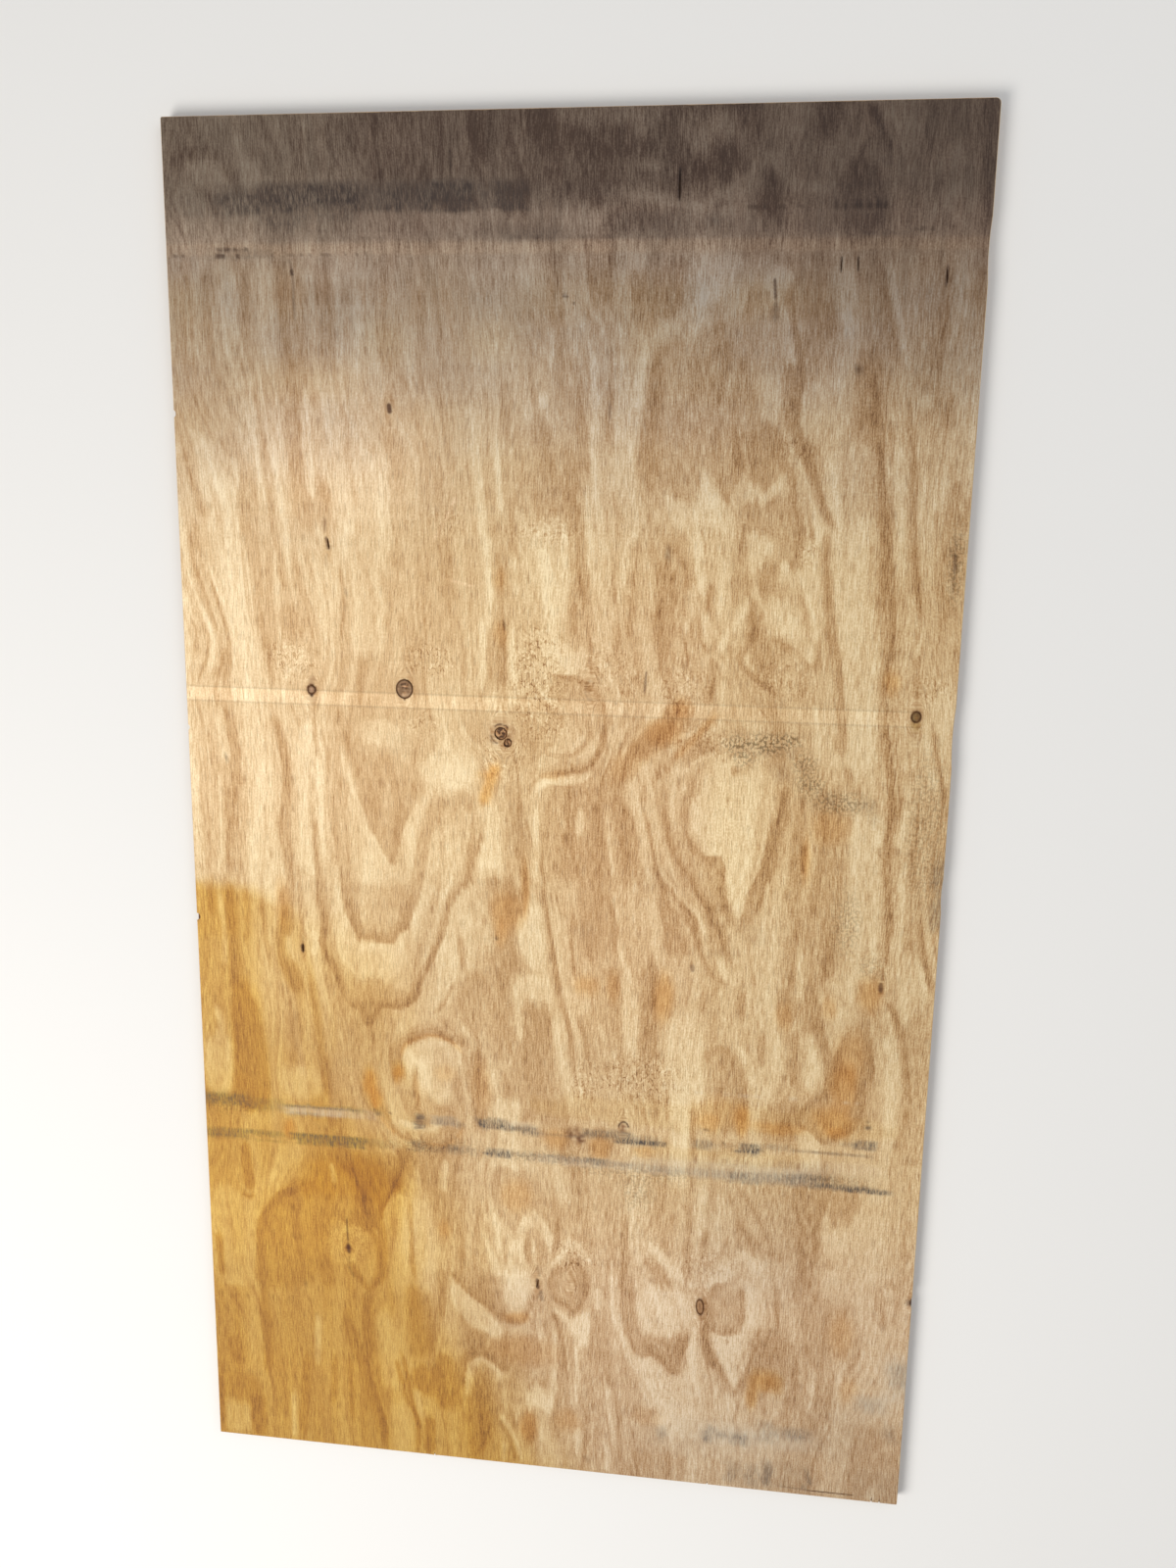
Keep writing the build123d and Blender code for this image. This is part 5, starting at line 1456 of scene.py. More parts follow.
FINE_SPOTS = [  # x, y, half width, half height, spacing: where the face needs a finer mesh
    (-184, 202.5, 15, 17, 1.15), (-299, 197, 9, 12, 1.1), (-66, 150, 18, 20, 1.2),
    (414, 189, 10, 12, 1.1), (194.5, -580, 8, 15, 1.1), (-198, 525, 6, 8, 1.4),
    (127.5, 758, 5, 21, 1.6), (415, 664, 5, 14, 1.6), (303, 677, 4, 12, 1.6),
    (321, 677, 4, 12, 1.6), (-274, 371, 6, 12, 1.5), (-319, -130, 6, 11, 1.5),
    (-16, -567, 8, 14, 1.5), (-269, -540, 8, 9, 1.5), (32, -355, 14, 14, 1.5),
    (91, -340, 10, 11, 1.3), (-171, -354, 7, 12, 1.6), (170, -126, 6, 9, 1.6),
    (394, -136, 6, 11, 1.6), (-125, 789, 4, 14, 1.7), (234, 650, 5, 16, 1.7),
    (-310, 672, 5, 7, 1.6), (104, 220, 4, 17, 1.6), (445, 362, 5, 15, 1.8),
    (-200, -160, 110, 75, 3.4), (-222, 10, 50, 50, 3.4), (-155, -262, 62, 26, 3.4),
    (-75, -615, 65, 35, 3.4), (28, -568, 36, 46, 3.4), (155, -640, 60, 50, 3.4),
    (232, -580, 36, 44, 3.4), (-250, -500, 60, 100, 3.5), (-368, -480, 40, 40, 3.5),
    (-100, -700, 55, 30, 3.5), (195, -50, 60, 90, 3.4), (220, -270, 40, 55, 3.5),
    (350, -260, 55, 80, 3.5), (15, 118, 65, 30, 3.4), (30, 215, 50, 14, 3.4),
    (120, 150, 60, 24, 3.4), (235, 238, 55, 36, 3.4), (222, 475, 60, 55, 3.5),
    (290, 385, 45, 40, 3.5), (-420, 250, 34, 48, 3.5), (190, 660, 75, 45, 3.6),
    (-134, 402, 15, 27, 2.2), (-116.5, 329, 20, 7, 2.0), (-269.5, -514, 3, 17, 1.5),
    (4, 645, 7, 3, 1.5), (14, 638, 3, 4, 1.5), (41, 208, 11, 15, 1.8), (453, -548, 5, 9, 1.6),
    (-72, -103, 4, 6, 1.6),
]
FINE_ROWS = [  # y from, y to, spacing: rows across the sheet that need to be closer
    (-832.5, -829.5, 1.4), (-406, -380, 3.2), (-364, -334, 3.2), (177, 182.5, 1.3),
    (193.5, 200, 1.3), (687, 699, 1.7), (702, 714, 2.2), (731, 738.5, 1.9),
]
COLUMNS = 268  # across the sheet
ROW_STEP, LEAST_STEP = 8.2, 0.8
SIDE_MARGIN, NEAR_MARGIN, FAR_MARGIN = 3.2, 3.6, 3.0
CLEARANCE = 0.42  # how far the grid's points stay off a sunk shape's outline


def grid_points(shapes):
    """The points inside the best face: a long grid, finer where a detail needs it."""
    hw, hl = WIDTH / 2, LENGTH / 2
    xs = np.linspace(-hw + SIDE_MARGIN, hw - SIDE_MARGIN, COLUMNS)
    rows = []
    y = -hl + NEAR_MARGIN
    while y < hl - FAR_MARGIN:
        rows.append(y)
        step = ROW_STEP
        for a, b, fine in FINE_ROWS:
            if a - 0.5 <= y <= b:
                step = min(step, fine)
            elif y < a < y + step:
                step = max(a - y, LEAST_STEP)
        y += step
    gx, gy = np.meshgrid(xs, np.array(rows))
    points = np.stack([gx.ravel(), gy.ravel()], 1)
    for x, y, w, h, step in sorted(FINE_SPOTS, key=lambda spot: -spot[4]):
        keep = (np.abs(points[:, 0] - x) > w) | (np.abs(points[:, 1] - y) > h)
        fx, fy = np.meshgrid(np.arange(x - w, x + w, step), np.arange(y - h, y + h, step * 1.1))
        fx = fx + np.where(np.arange(fx.shape[0])[:, None] % 2, step / 2, 0)
        points = np.vstack([points[keep], np.stack([fx.ravel(), fy.ravel()], 1)])
    # clear of the sheet's edges, its chips and splinters, and the outlines of sunk shapes
    px, py = points.T
    keep = (np.abs(px) < hw - 2.8) & (np.abs(py) < hl - 2.6)
    for side, from_far, chord, depth in CHIPS:
        keep &= np.hypot(px - side * hw, py - (hl - from_far)) > max(chord / 2, depth) + 1.6
    for from_right, reach in SPLINTERS:
        keep &= (np.abs(px - hw + from_right) > 1.8) | (py > -hl + reach + 1.5)
    for shape, _ in shapes:
        centre = shape.mean(0)
        reach = np.abs(shape - centre).max(0) + 1.5
        close = np.nonzero(keep & (np.abs(points - centre) < reach).all(1))[0]
        closed = np.vstack([shape, shape[:1]])
        at, d = near_line(points[close], closed, CLEARANCE)[:2]
        keep[close[at[d < CLEARANCE]]] = False
    return points[keep]


def triangulate(ring, inner, shapes):
    """Triangles inside a ring that keep the ring's and the shapes' outlines as edges."""
    points = [Vector(p) for p in np.vstack([ring] + [s for s, _ in shapes] + [inner])]
    loops, start = [list(range(len(ring)))], len(ring)
    for shape, _ in shapes:
        loops.append(list(range(start, start + len(shape))))
        start += len(shape)
    verts, _, faces, origin, _, _ = delaunay_2d_cdt(points, [], loops, 1, 1e-6, True)
    xy = np.array([tuple(v) for v in verts])
    index = {}
    for new, olds in enumerate(origin):
        for old in olds:
            index[old] = new
    rim = [index[k] for k in range(len(ring))]
    faces = np.array(faces)
    # slivers between the ring and the hull round it don't belong
    thin = np.nonzero(np.isin(faces, rim).all(1))[0]
    stray = thin[~in_polygon(xy[faces[thin]].mean(1), xy[rim])]
    return xy, np.delete(faces, stray, 0), rim


# Which part of the surface a face belongs to. A side's number has its kind added.
TOP, BACK, WALL, SIDE = 0, 2, 3, 4

LEDGE, CHIP_FLOOR = THICK - FACE_VENEER, THICK - CHIP_THICK
EDGE_HEIGHTS = [
    THICK - ARRIS, 16.6, LEDGE + 0.02, LEDGE - 0.02, 14.3, CHIP_FLOOR + 0.02, CHIP_FLOOR - 0.02,
    11.0, 9.0, 7.0, 5.0, 3.2, 1.8, ARRIS,
]
# Dark wood and painted shade down in the splits and gaps.
PIT_WOOD_AND_SHADE = (0.20, 0.105, 0.04)  # of the wood down in a split or a gap


def face_levels(xy, triangles, shapes):
    """The depths that there are in the best face, and which of them each triangle lies at."""
    centre = xy[triangles].mean(1)
    depth = np.zeros(len(triangles))
    for shape, deep in shapes:
        box = (centre > shape.min(0)).all(1) & (centre < shape.max(0)).all(1)
        at = np.nonzero(box)[0]
        depth[at[in_polygon(centre[at], shape)]] = deep
    levels = sorted(set(depth))
    return levels, np.searchsorted(levels, depth)


def face_relief(xy, tone, curl):
    """How far the wood stands above its level: raised grain and uneven knots."""
    relief = 0.07 * (np.clip(tone, 0, 1) - 0.6) + 0.05 * noise(xy, 5, 60, 42) - 0.05
    relief += curl * 0.10 * noise(xy, 4, 5, 43)
    for x, y, wide, tall, lean in TIGHT_KNOTS:
        px, py = local(xy, x, y, lean)
        q = np.hypot(px / (wide / 2 - GAP), py / (tall / 2 - GAP))
        relief += 0.16 * smooth((1.05 - q) * 6) + 0.10 * noise(xy, 2.5, 2.5, 44) * (q < 1)
    for x, y, wide, tall, lean in BROKEN_KNOT:
        px, py = local(xy, x, y, lean)
        relief += 0.30 * noise(xy, 2.6, 3.4, 45) * (np.hypot(px / wide, py / tall) < 0.5)
    inside = (np.abs(xy[:, 0]) < WIDTH / 2 - 1) & (np.abs(xy[:, 1]) < LENGTH / 2 - 1)
    return np.clip(relief, -0.28, 0.12) * inside


def paint_face(xy, deep):
    """The heights of the best face's points, and the numbers that its material reads there:
    the figure's tone, stain with painted shade and light, and dust, the flow of fibres and
    rings, and four masks."""
    tone = figure_tone(xy)
    stain_and_shade, soot, dust, weather = stain_and_shade_factor(xy, tone)
    curl = mask_of(xy, CURLS)
    knot_paint(xy, tone, stain_and_shade)
    hollow = (deep > 0.5) & (np.abs(deep - BROKEN_SINK) > 0.01)
    # dark wood and painted shade in the pits, darker still at the far end
    stain_and_shade[hollow] = np.array(PIT_WOOD_AND_SHADE) * (1 - 0.6 * rise(xy[hollow, 1:], 600, 700))
    z = THICK - deep + face_relief(xy, tone, curl)
    flow = np.column_stack([fibre_coordinates(xy), xy[:, 1], ring_field(xy)])
    masks = np.column_stack([curl, mask_of(xy, MOULD), soot, weather])
    return z, tone, np.column_stack([stain_and_shade, dust]), flow, masks


def sunk_walls(triangles, level, number):
    """The walls between triangles of the best face that lie at different levels."""
    owner = {}
    for t, (a, b, c) in enumerate(triangles.tolist()):
        owner[(a, b)] = owner[(b, c)] = owner[(c, a)] = t
    walls = []
    for t, (a, b, c) in enumerate(triangles.tolist()):
        for p, q in ((a, b), (b, c), (c, a)):
            other = owner.get((q, p))
            if other is not None and level[t] < level[other]:
                high, low = level[t], level[other]
                walls.append([number[q, high], number[p, high], number[p, low], number[q, low]])
    return walls


def edge_rows(places, normal, rub, around):
    """Rows of points round the sawn edge, from the best face down to the back, a little
    roughened by the saw."""
    low_xy, mid_xy, top_xy = places
    rows = []
    for height in EDGE_HEIGHTS:
        base = top_xy if height > LEDGE else mid_xy if height > CHIP_FLOOR else low_xy
        spot = np.stack([around, np.full(len(around), height * 7.0)], 1)
        rough = 0.10 + 0.10 * noise(spot, 2.2, 40, 46) + 0.07 * noise(spot, 8, 5, 47)
        rough *= (rub > 0.3) * (0.4 if height > THICK - 1 else 1.0)
        at = base - normal * np.clip(rough, 0, 0.3)[:, None]
        rows.append(np.column_stack([at, np.full(len(at), height)]))
    return rows


def build_sheet():
    """The whole sheet as one closed mesh: its points, its faces and the group of each, and
    the numbers that its materials read at each point."""
    ring = stations()
    count = len(ring)
    low_xy, mid_xy, top_xy, normal = [np.array([s[k] for s in ring], float) for k in (0, 1, 2, 4)]
    rub, kind = [np.array([s[k] for s in ring]) for k in (3, 5)]
    steps = np.hypot(*(np.roll(low_xy, -1, 0) - low_xy).T)
    around = np.concatenate([[0], np.cumsum(steps)[:-1]])

    # the best face, its two ends frayed a little by the saw
    shapes = sunk_shapes()
    outer = top_xy - normal * rub[:, None]
    frayed = np.clip(noise(np.stack([around, 0 * around], 1), 5, 5, 41), 0, 1)
    fuzz = 0.35 * frayed * (kind == END) * (rub > 0.3)
    outer = outer - normal * fuzz[:, None]
    xy, triangles, edge_index = triangulate(outer, grid_points(shapes), shapes)
    levels, level = face_levels(xy, triangles, shapes)
    keys, new = np.unique(triangles * len(levels) + level[:, None], return_inverse=True)
    where, which = keys // len(levels), keys % len(levels)
    number = {place: n for n, place in enumerate(zip(where.tolist(), which.tolist()))}
    face_xy = xy[where]
    z, figure, factor, flow, masks = paint_face(face_xy, np.array(levels)[which])
    verts = [np.column_stack([face_xy, z])]
    faces = new.reshape(triangles.shape).tolist()
    groups = [TOP] * len(faces)
    walls = sunk_walls(triangles, level.tolist(), number)
    faces += walls
    groups += [WALL] * len(walls)

    # the sawn edge
    rows = [[number[i, 0] for i in edge_index]]
    total = len(face_xy)
    for row in edge_rows((low_xy, mid_xy, top_xy), normal, rub, around):
        verts.append(row)
        rows.append(list(range(total, total + count)))
        total += count

    # the back
    back_inner = [(x, y) for x in np.linspace(-WIDTH / 2 + 10, WIDTH / 2 - 10, 38)
                  for y in np.linspace(-LENGTH / 2 + 10, LENGTH / 2 - 10, 52)]
    under = low_xy - normal * ARRIS
    back_xy, back_triangles, back_index = triangulate(under, np.array(back_inner), [])
    verts.append(np.column_stack([back_xy, np.zeros(len(back_xy))]))
    rows.append([total + i for i in back_index])
    faces += (back_triangles[:, ::-1] + total).tolist()
    groups += [BACK] * len(back_triangles)

    for upper, lower in zip(rows, rows[1:]):
        for k in range(count):
            n = (k + 1) % count
            faces.append([upper[k], lower[k], lower[n], upper[n]])
            groups.append(SIDE + int(kind[k] if kind[k] else kind[n]))

    # below the best face the materials only read the place, and which sides are the ends
    below = np.vstack(verts[1:])
    extra = len(below)
    ends = np.zeros(extra)
    ends[:count * len(EDGE_HEIGHTS)] = np.tile((kind == END).astype(float), len(EDGE_HEIGHTS))
    nothing = np.zeros(extra)
    figure = np.concatenate([figure, np.full(extra, 0.45)])
    factor = np.vstack([factor, np.ones((extra, 4))])
    flow = np.vstack([flow, np.column_stack([below[:, 0], below[:, 1], 0 * below[:, 0]])])
    masks = np.vstack([masks, np.column_stack([nothing, nothing, ends, nothing])])
    return np.vstack(verts), faces, np.array(groups), figure, factor, flow, masks


def bake_layout(mesh, groups):
    """A UV map that gives most of a square to the best face."""
    layer = mesh.uv_layers.new(name="OFBake")
    loops = len(mesh.loops)
    corner = np.zeros(loops, int)
    mesh.loops.foreach_get("vertex_index", corner)
    starts, sizes = np.zeros(len(mesh.polygons), int), np.zeros(len(mesh.polygons), int)
    mesh.polygons.foreach_get("loop_start", starts)
    mesh.polygons.foreach_get("loop_total", sizes)
    co = np.zeros(len(mesh.vertices) * 3)
    mesh.vertices.foreach_get("co", co)
    p = co.reshape(-1, 3)[corner] / MM
    group = np.repeat(groups, sizes)
    s, t, h = p[:, 0] / WIDTH + 0.5, p[:, 1] / LENGTH + 0.5, p[:, 2] / THICK
    uv = np.zeros((loops, 2))

    def put(chosen, a, b, u0, u1, v0=0.003, v1=0.997):
        uv[chosen, 0] = u0 + a[chosen] * (u1 - u0)
        uv[chosen, 1] = v0 + b[chosen] * (v1 - v0)

    put(group == TOP, s, t, 0.004, 0.740)
    put(group == BACK, s, t, 0.748, 0.926)
    long_side, end_side = group == SIDE + LONG, group == SIDE + END
    put(long_side & (s > 0.5), h, t, 0.931, 0.944)
    put(long_side & (s <= 0.5), h, t, 0.948, 0.961)
    put(end_side & (t < 0.5), h, s, 0.965, 0.978, v1=0.495)
    put(end_side & (t >= 0.5), h, s, 0.965, 0.978, v0=0.505)
    # each wall has a small square of its own, three in a row
    cell = 0.003
    for k, first in enumerate(starts[groups == WALL].tolist()):
        u, v = 0.983 + 0.005 * (k % 3), 0.004 + 0.0042 * (k // 3)
        uv[first:first + 4] = [(u, v + cell), (u + cell, v + cell), (u + cell, v), (u, v)]
    layer.data.foreach_set("uv", uv.ravel())


def make_sheet():
    verts, faces, groups, figure, factor, flow, masks = build_sheet()
    mesh = bpy.data.meshes.new("plywood_sheet_finished")
    mesh.from_pydata((verts * MM).tolist(), [], faces)
    mesh.validate(verbose=False)
    slots = np.choose(np.minimum(groups, SIDE), [0, 0, 2, 0, 1])
    mesh.polygons.foreach_set("material_index", slots.astype(np.int32))
    for name, kind, field, values in (
            ("figure", "FLOAT", "value", figure),
            ("stain_and_shade", "FLOAT_COLOR", "color", factor),
            ("flow", "FLOAT_VECTOR", "vector", flow * MM),
            ("masks", "FLOAT_COLOR", "color", masks)):
        mesh.attributes.new(name, kind, "POINT").data.foreach_set(field, values.ravel())
    bake_layout(mesh, groups)
    mesh.polygons.foreach_set("use_smooth", np.ones(len(mesh.polygons), bool))
    mesh.set_sharp_from_angle(angle=math.radians(32))
    mesh.update()
    sheet = bpy.data.objects.new("plywood_sheet_finished", mesh)
    bpy.context.scene.collection.objects.link(sheet)
    return sheet


# Materials.

def linear(r, g, b):
    """A colour given as 0 to 255 on a screen."""
    out = []
    for c in (r / 255, g / 255, b / 255):
        out.append(c / 12.92 if c <= 0.04045 else ((c + 0.055) / 1.055) ** 2.4)
    return tuple(out) + (1.0,)


class Shader:
    """A material's node tree, with short calls for the nodes that are used here."""

    def __init__(self, name, owner=None):
        self.material = owner or bpy.data.materials.new(name)
        self.material.use_nodes = True
        self.tree = self.material.node_tree
        self.tree.nodes.clear()

    def add(self, kind, *inputs, **settings):
        item = self.tree.nodes.new("ShaderNode" + kind)
        for name, value in settings.items():
            setattr(item, name, value)
        for socket, value in zip(item.inputs, inputs):
            self.put(socket, value)
        return item

    def put(self, socket, value):
        if isinstance(value, bpy.types.NodeSocket):
            self.tree.links.new(value, socket)
        elif value is not None:
            socket.default_value = value

    def math(self, operation, *inputs):
        return self.add("Math", *inputs, operation=operation).outputs[0]

    def times(self, a, b):
        return self.math("MULTIPLY", a, b)

    def attribute(self, name, output):
        return self.add("Attribute", attribute_name=name).outputs[output]

    def noise(self, vector, scale, detail=2.0, rough=0.5, distortion=0.0):
        """Noise from 0 to 1 whose cells follow a three-way scale, in cells per metre."""
        at = self.add("VectorMath", vector, scale, operation="MULTIPLY").outputs[0]
        item = self.add("TexNoise")
        self.put(item.inputs["Vector"], at)
        settings = {"Scale": 1.0, "Detail": detail, "Roughness": rough, "Distortion": distortion}
        for name, value in settings.items():
            self.put(item.inputs[name], value)
        return item.outputs[0]

    def about(self, value, amount):
        """Noise turned into a change of this much about nought."""
        return self.times(self.math("SUBTRACT", value, 0.5), amount)

    def total(self, *values):
        result = values[0]
        for value in values[1:]:
            result = self.math("ADD", result, value)
        return result

    def span(self, value, start, end, to_start=0.0, to_end=1.0):
        """A soft step between two values, to_start before start and to_end past end."""
        return self.add("MapRange", value, start, end, to_start, to_end,
                        interpolation_type="SMOOTHSTEP").outputs[0]

    def ramp(self, value, stops):
        item = self.add("ValToRGB", value)
        elements = item.color_ramp.elements
        while len(elements) < len(stops):
            elements.new(0.5)
        for element, (place, colour) in zip(elements, stops):
            element.position = place
            element.color = colour
        return item.outputs[0]

    def mix(self, amount, a, b, blend="MIX"):
        item = self.add("Mix", data_type="RGBA", blend_type=blend)
        self.put(item.inputs[0], amount)
        self.put(item.inputs[6], a)
        self.put(item.inputs[7], b)
        return item.outputs[2]

    def tinted(self, amount, colour, factor):
        """A colour multiplied by a factor, as far as the amount says."""
        return self.mix(amount, colour, self.mix(1.0, colour, factor, "MULTIPLY"))

    def finish(self, colour, rough, height, distance, strength):
        """The material, with bump of this height."""
        shader = self.add("BsdfPrincipled")
        self.put(shader.inputs["Base Color"], colour)
        self.put(shader.inputs["Roughness"], rough)
        shader.inputs["Specular IOR Level"].default_value = 0.22
        bump = self.add("Bump")
        self.put(bump.inputs["Strength"], strength)
        self.put(bump.inputs["Distance"], distance)
        self.put(bump.inputs["Height"], height)
        self.put(shader.inputs["Normal"], bump.outputs[0])
        out = self.add("OutputMaterial")
        self.tree.links.new(shader.outputs[0], out.inputs[0])
        return self.material


INNER_PLIES = 5  # between the two face veneers
GREY_WOOD = [  # tone, colour
    (0.00, linear(228, 207, 180)), (0.28, linear(207, 181, 155)), (0.55, linear(180, 154, 130)),
    (0.80, linear(150, 123, 102)), (1.00, linear(118, 91, 73)),
]
WOOD = [  # tone, colour
    (0.00, linear(243, 222, 180)), (0.16, linear(233, 208, 163)), (0.34, linear(219, 189, 142)),
    (0.52, linear(204, 169, 122)), (0.70, linear(187, 148, 99)), (0.86, linear(168, 127, 79)),
    (1.00, linear(136, 96, 57)),
]


def face_material():
    """The best face: painted figure, and stains with painted shade and light, from the mesh, and
    procedural fine grain.
    """
    s = Shader("face_veneer")
    flows = s.attribute("flow", "Vector")
    painted = s.attribute("figure", "Fac")
    stain_and_shade = s.attribute("stain_and_shade", "Color")
    dust = s.attribute("stain_and_shade", "Alpha")
    across, along, ring = s.add("SeparateXYZ", flows).outputs
    flow = s.add("CombineXYZ", across, along, 0.0).outputs[0]
    rings = s.add("CombineXYZ", ring, along, 0.0).outputs[0]
    curl, mould, soot = s.add("SeparateXYZ", s.attribute("masks", "Vector")).outputs
    weather = s.attribute("masks", "Alpha")
    # the figure: what is painted, and finer grain and rings over it
    fine = s.noise(flow, (820, 55, 1), 2.0, 0.6)
    speckle = s.noise(flow, (640, 400, 1), 1.0, 0.5)
    bars = s.noise(flow, (330, 42, 1), 2.0, 0.6)
    middle = s.noise(rings, (300, 7, 1), 2.0, 0.6)
    broad = s.noise(rings, (95, 2.6, 1), 2.0, 0.5)
    late = s.noise(rings, (46, 1.4, 1), 2.0, 0.55)
    edges = s.span(s.math("ABSOLUTE", s.math("SUBTRACT", late, 0.5)), 0.045, 0.0)
    dashes = s.noise(flow, (640, 52, 1), 1.0, 0.5)
    mottle = s.noise(flow, (60, 40, 1), 3.0, 0.6)
    swirl = s.noise(flow, (260, 170, 1), 3.0, 0.6, 1.2)
    nest = s.add("CombineXYZ", painted, across, along).outputs[0]
    nested = s.noise(nest, (26, 9, 3), 2.0, 0.6)
    lively = s.total(s.span(across, -0.2, 0.15, 0.8, 1.1), s.times(weather, 0.35))
    grain = s.total(s.about(fine, 1.25), s.about(speckle, 0.60),
                    s.times(s.about(bars, 0.55), weather))
    figure = s.total(painted, s.times(grain, lively), s.about(middle, 0.50),
                     s.about(broad, 0.26), s.about(mottle, 0.16), s.about(nested, 0.3),
                     s.times(edges, 0.10))
    flecks = s.times(s.span(swirl, 0.54, 0.70), curl)
    hollows = s.times(s.span(swirl, 0.47, 0.33), curl)
    figure = s.total(figure, s.times(flecks, -0.46), s.times(hollows, 0.62))
    # its colour, and what lies on it
    wood = s.mix(weather, s.ramp(figure, WOOD), s.ramp(figure, GREY_WOOD))
    # the stains, with painted shade and light multiplied in
    colour = s.mix(1.0, wood, stain_and_shade, "MULTIPLY")
    pores = s.times(s.span(dashes, 0.55, 0.68), s.span(painted, 0.0, 0.7, 0.26, 0.55))
    colour = s.tinted(pores, colour, (0.50, 0.40, 0.32, 1))
    specks = s.span(s.noise(flow, (300, 260, 1), 2.0, 0.55), 0.47, 0.56)
    colour = s.tinted(s.times(s.times(specks, mould), 0.9), colour, (0.29, 0.265, 0.20, 1))
    hatch = s.span(s.noise(flow, (520, 90, 1), 3.0, 0.7), 0.34, 0.66, 1.15, 0.3)
    colour = s.mix(s.times(dust, s.span(fine, 0.35, 0.6, 1.0, 0.5)), colour,
                   linear(196, 186, 166))
    soot_colour = s.mix(weather, linear(67, 60, 57), linear(55, 45, 40))
    colour = s.mix(s.times(soot, hatch), colour, soot_colour)
    rough = s.total(s.span(figure, 0.0, 1.0, 0.74, 0.60), s.about(fine, 0.12))
    height = s.total(s.times(fine, 0.9), s.times(dashes, -0.5), s.times(flecks, 0.5))
    return s.finish(colour, rough, height, 0.00035, 0.55)


def edge_material():
    """The sawn edge: seven plies, every other one end grain, with dark glue lines between."""
    s = Shader("sawn_edge")
    x, y, z = s.add("SeparateXYZ", s.add("NewGeometry").outputs["Position"]).outputs
    ends = s.add("SeparateXYZ", s.attribute("masks", "Vector")).outputs[2]
    along = s.add("CombineXYZ", s.math("ADD", x, y), s.math("SUBTRACT", y, x), z).outputs[0]
    wave = s.about(s.noise(along, (30, 30, 0), 2.0), 0.0007)
    height = s.math("ADD", z, wave)
    inner = (THICK - 2 * FACE_VENEER) / INNER_PLIES
    glue, parity = 0.0, 0.0
    for k in range(INNER_PLIES + 1):
        joint = (FACE_VENEER + inner * k) * MM
        away = s.math("ABSOLUTE", s.math("SUBTRACT", height, joint))
        glue = s.math("MAXIMUM", glue, s.span(away, 0.00042, 0.00014))
        parity = s.math("ADD", parity, s.math("GREATER_THAN", height, joint))
    odd = s.math("MODULO", parity, 2.0)
    end_grain = s.math("ABSOLUTE", s.math("SUBTRACT", odd, ends))
    end_grain = s.math("SUBTRACT", 1.0, s.math("ABSOLUTE", s.math("SUBTRACT", end_grain, 1.0)))
    pores = s.noise(along, (1500, 1500, 2600), 2.0, 0.6)
    strands = s.noise(along, (55, 55, 3600), 2.0, 0.6)
    saw = s.noise(along, (900, 900, 40), 2.0, 0.6)
    tone = s.total(0.42, s.about(strands, 0.5), s.about(saw, 0.35))
    side = s.ramp(tone, WOOD)
    dark = s.mix(s.span(pores, 0.35, 0.65), linear(150, 108, 70), linear(196, 154, 108))
    dark = s.tinted(s.span(saw, 0.3, 0.7), dark, (0.78, 0.74, 0.70, 1))
    colour = s.mix(end_grain, side, dark)
    colour = s.mix(s.times(glue, 0.8), colour, linear(84, 56, 36))
    grime = s.noise(along, (9, 9, 60), 3.0, 0.6)
    colour = s.tinted(s.span(grime, 0.45, 0.75, 0.10, 0.55), colour, (0.55, 0.50, 0.46, 1))
    relief = s.total(s.times(saw, 0.8), s.times(s.times(pores, end_grain), 0.9),
                     s.times(glue, -0.6))
    return s.finish(colour, s.span(pores, 0.0, 1.0, 0.72, 0.92), relief, 0.0006, 0.7)


def back_material():
    """The other face: a plainer peeled veneer with a figure of its own."""
    s = Shader("back_veneer")
    place = s.add("NewGeometry").outputs["Position"]
    lean = s.about(s.noise(place, (7, 1.2, 0), 2.0), 0.02)
    sideways = s.add("CombineXYZ", lean, 0.0, 0.0).outputs[0]
    at = s.add("VectorMath", place, sideways, operation="ADD").outputs[0]
    hills = s.noise(at, (5.2, 1.15, 0), 2.0, 0.42, 0.35)
    phase = s.math("FRACT", s.times(hills, 17.0))
    band = s.times(s.span(phase, 0.15, 0.82), s.span(phase, 1.0, 0.86))
    fine = s.noise(at, (900, 14, 0), 3.0, 0.62)
    middle = s.noise(at, (240, 5, 0), 2.0)
    patch = s.noise(at, (6, 3, 0), 3.0, 0.6)
    figure = s.total(0.14, s.times(band, 0.52), s.about(fine, 0.30), s.about(middle, 0.34),
                     s.about(patch, 0.24))
    colour = s.ramp(figure, WOOD)
    colour = s.tinted(s.span(patch, 0.42, 0.68, 0.0, 0.7), colour, (0.86, 0.76, 0.62, 1))
    dashes = s.noise(at, (1500, 90, 0), 1.0)
    pores = s.times(s.span(dashes, 0.6, 0.76), 0.25)
    colour = s.tinted(pores, colour, (0.45, 0.36, 0.28, 1))
    rough = s.span(fine, 0.0, 1.0, 0.62, 0.78)
    height = s.total(s.times(fine, 0.9), s.times(dashes, -0.5))
    return s.finish(colour, rough, height, 0.00035, 0.5)


def seen(s):
    """1 for what the camera sees itself, in a mirror or through glass."""
    path = s.add("LightPath").outputs
    direct = s.math("MAXIMUM", path["Is Camera Ray"], path["Is Glossy Ray"])
    return s.math("MAXIMUM", direct, path["Is Transmission Ray"])


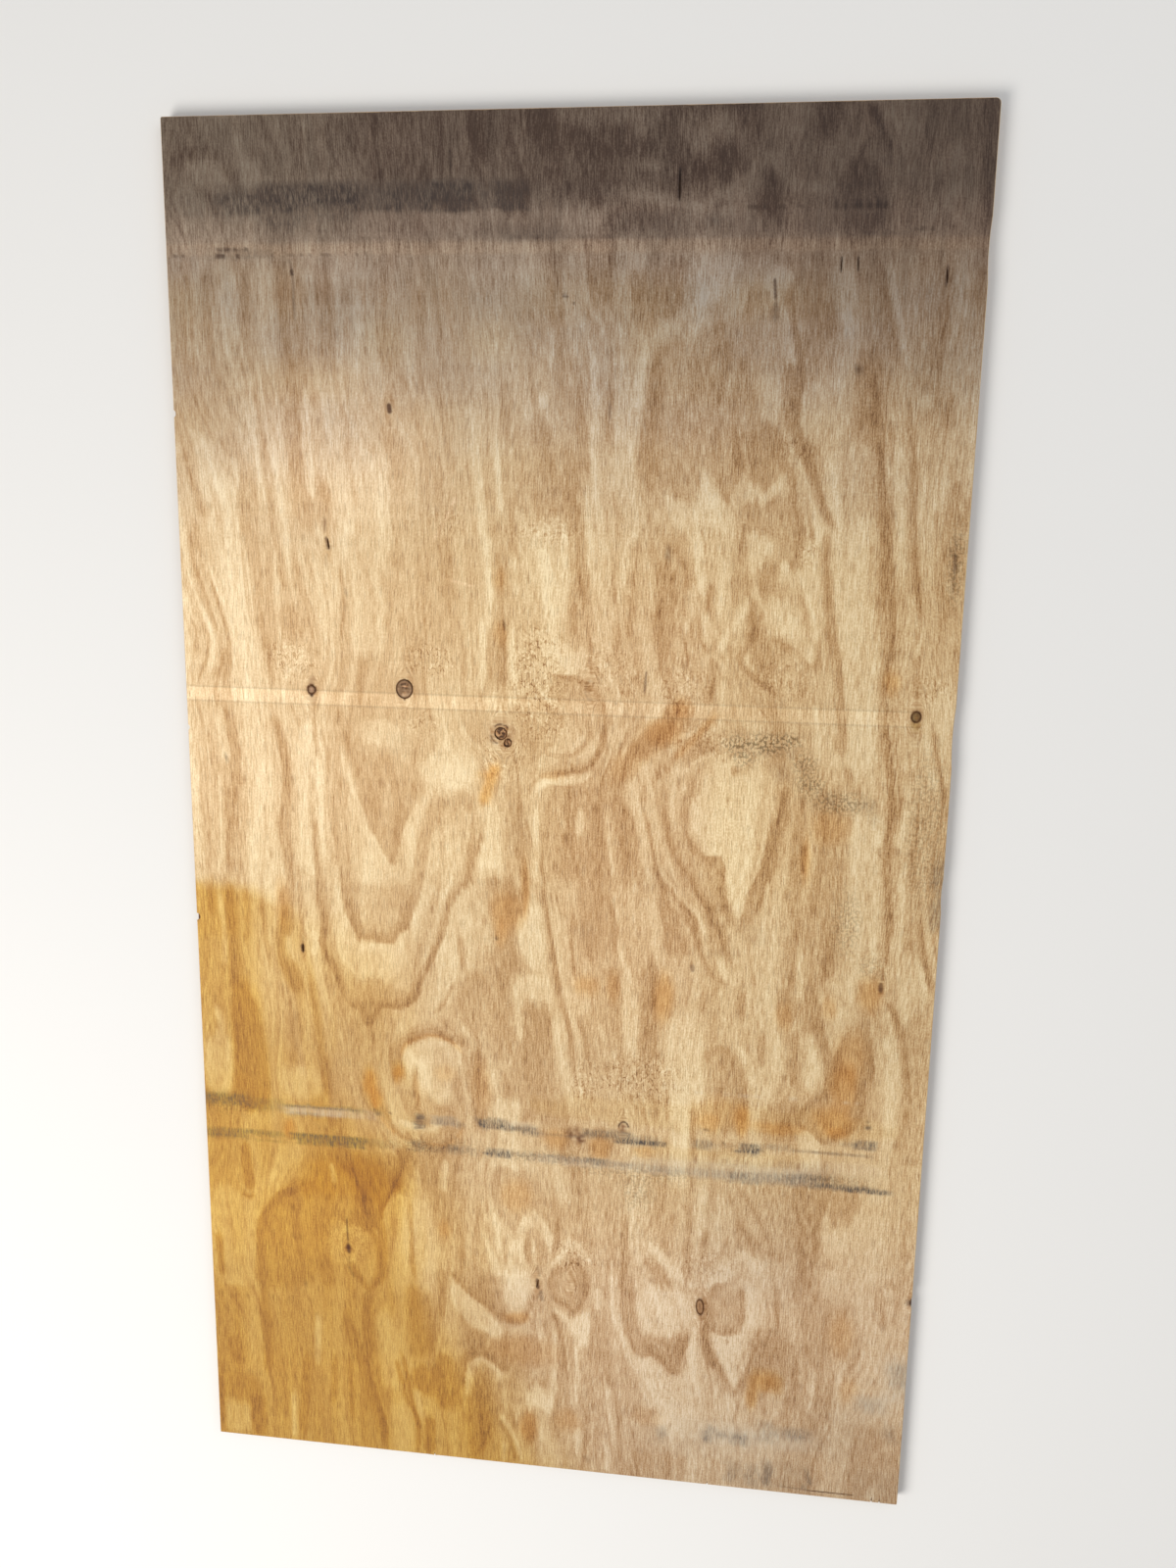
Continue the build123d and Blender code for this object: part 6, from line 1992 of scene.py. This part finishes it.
def floor_material():
    """Pale, and white further off, so that it runs into the white behind it."""
    s = Shader("pale_floor")
    place = s.add("NewGeometry").outputs["Position"]
    away = s.span(s.add("VectorMath", place, operation="LENGTH").outputs["Value"], 1.5, 3.6)
    pale = s.add("BsdfPrincipled", linear(226, 224, 220), 0.0, 0.85).outputs[0]
    white = s.add("Emission", (1.0, 1.0, 1.0, 1.0), 1.0).outputs[0]
    mixed = s.add("MixShader", s.math("MULTIPLY", seen(s), away), pale, white).outputs[0]
    s.add("OutputMaterial", mixed)
    return s.material


# Camera, light and floor.

def make_camera():
    """Over the sheet, a little right of its middle, with the far end upward in the view."""
    data = bpy.data.cameras.new("view")
    data.sensor_fit = "VERTICAL"
    data.sensor_height = 36.0
    data.lens = 29.32
    forward = Vector((-0.12221, -0.19888, -0.97238)).normalized()
    right = Vector((0.99163, 0.01672, -0.12805))
    right = (right - forward * right.dot(forward)).normalized()
    up = right.cross(forward)
    turn = Matrix((right, up, -forward)).transposed().to_4x4()
    camera = bpy.data.objects.new("view", data)
    camera.matrix_world = Matrix.Translation((0.2243, 0.3982, 1.4944)) @ turn
    bpy.context.scene.collection.objects.link(camera)
    bpy.context.scene.camera = camera


def make_light(name, place, target, size, power, colour):
    data = bpy.data.lights.new(name, "AREA")
    data.shape = "DISK"
    data.size = size
    data.energy = power
    data.color = colour
    lamp = bpy.data.objects.new(name, data)
    lamp.location = place
    lamp.rotation_euler = (Vector(target) - Vector(place)).to_track_quat("-Z", "Y").to_euler()
    bpy.context.scene.collection.objects.link(lamp)


def make_studio():
    make_light("key", (-1.9, -1.6, 2.9), (-0.1, -0.1, 0), 2.2, 118, (1.0, 0.97, 0.93))
    make_light("fill", (1.8, 1.6, 3.2), (0, 0, 0), 3.0, 40, (0.95, 0.97, 1.0))
    bpy.context.scene.world = bpy.data.worlds.new("studio")
    s = Shader("studio", bpy.context.scene.world)
    light = s.add("Background", (0.92, 0.95, 1.0, 1.0), 0.42).outputs[0]
    white = s.add("Background", (1.0, 1.0, 1.0, 1.0), 1.0).outputs[0]
    s.add("OutputWorld", s.add("MixShader", seen(s), light, white).outputs[0])
    data = bpy.data.meshes.new("floor")
    r = 9.0
    z = -0.0004
    data.from_pydata([(-r, -r, z), (r, -r, z), (r, r, z), (-r, r, z)], [], [(0, 1, 2, 3)])
    floor = bpy.data.objects.new("floor", data)
    bpy.context.scene.collection.objects.link(floor)
    data.materials.append(floor_material())
    bpy.context.scene.view_settings.view_transform = "Standard"


make_camera()
make_studio()
sheet = make_sheet()
for material in (face_material(), edge_material(), back_material()):
    sheet.data.materials.append(material)
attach(sheet, "root")
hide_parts("plywood_sheet")
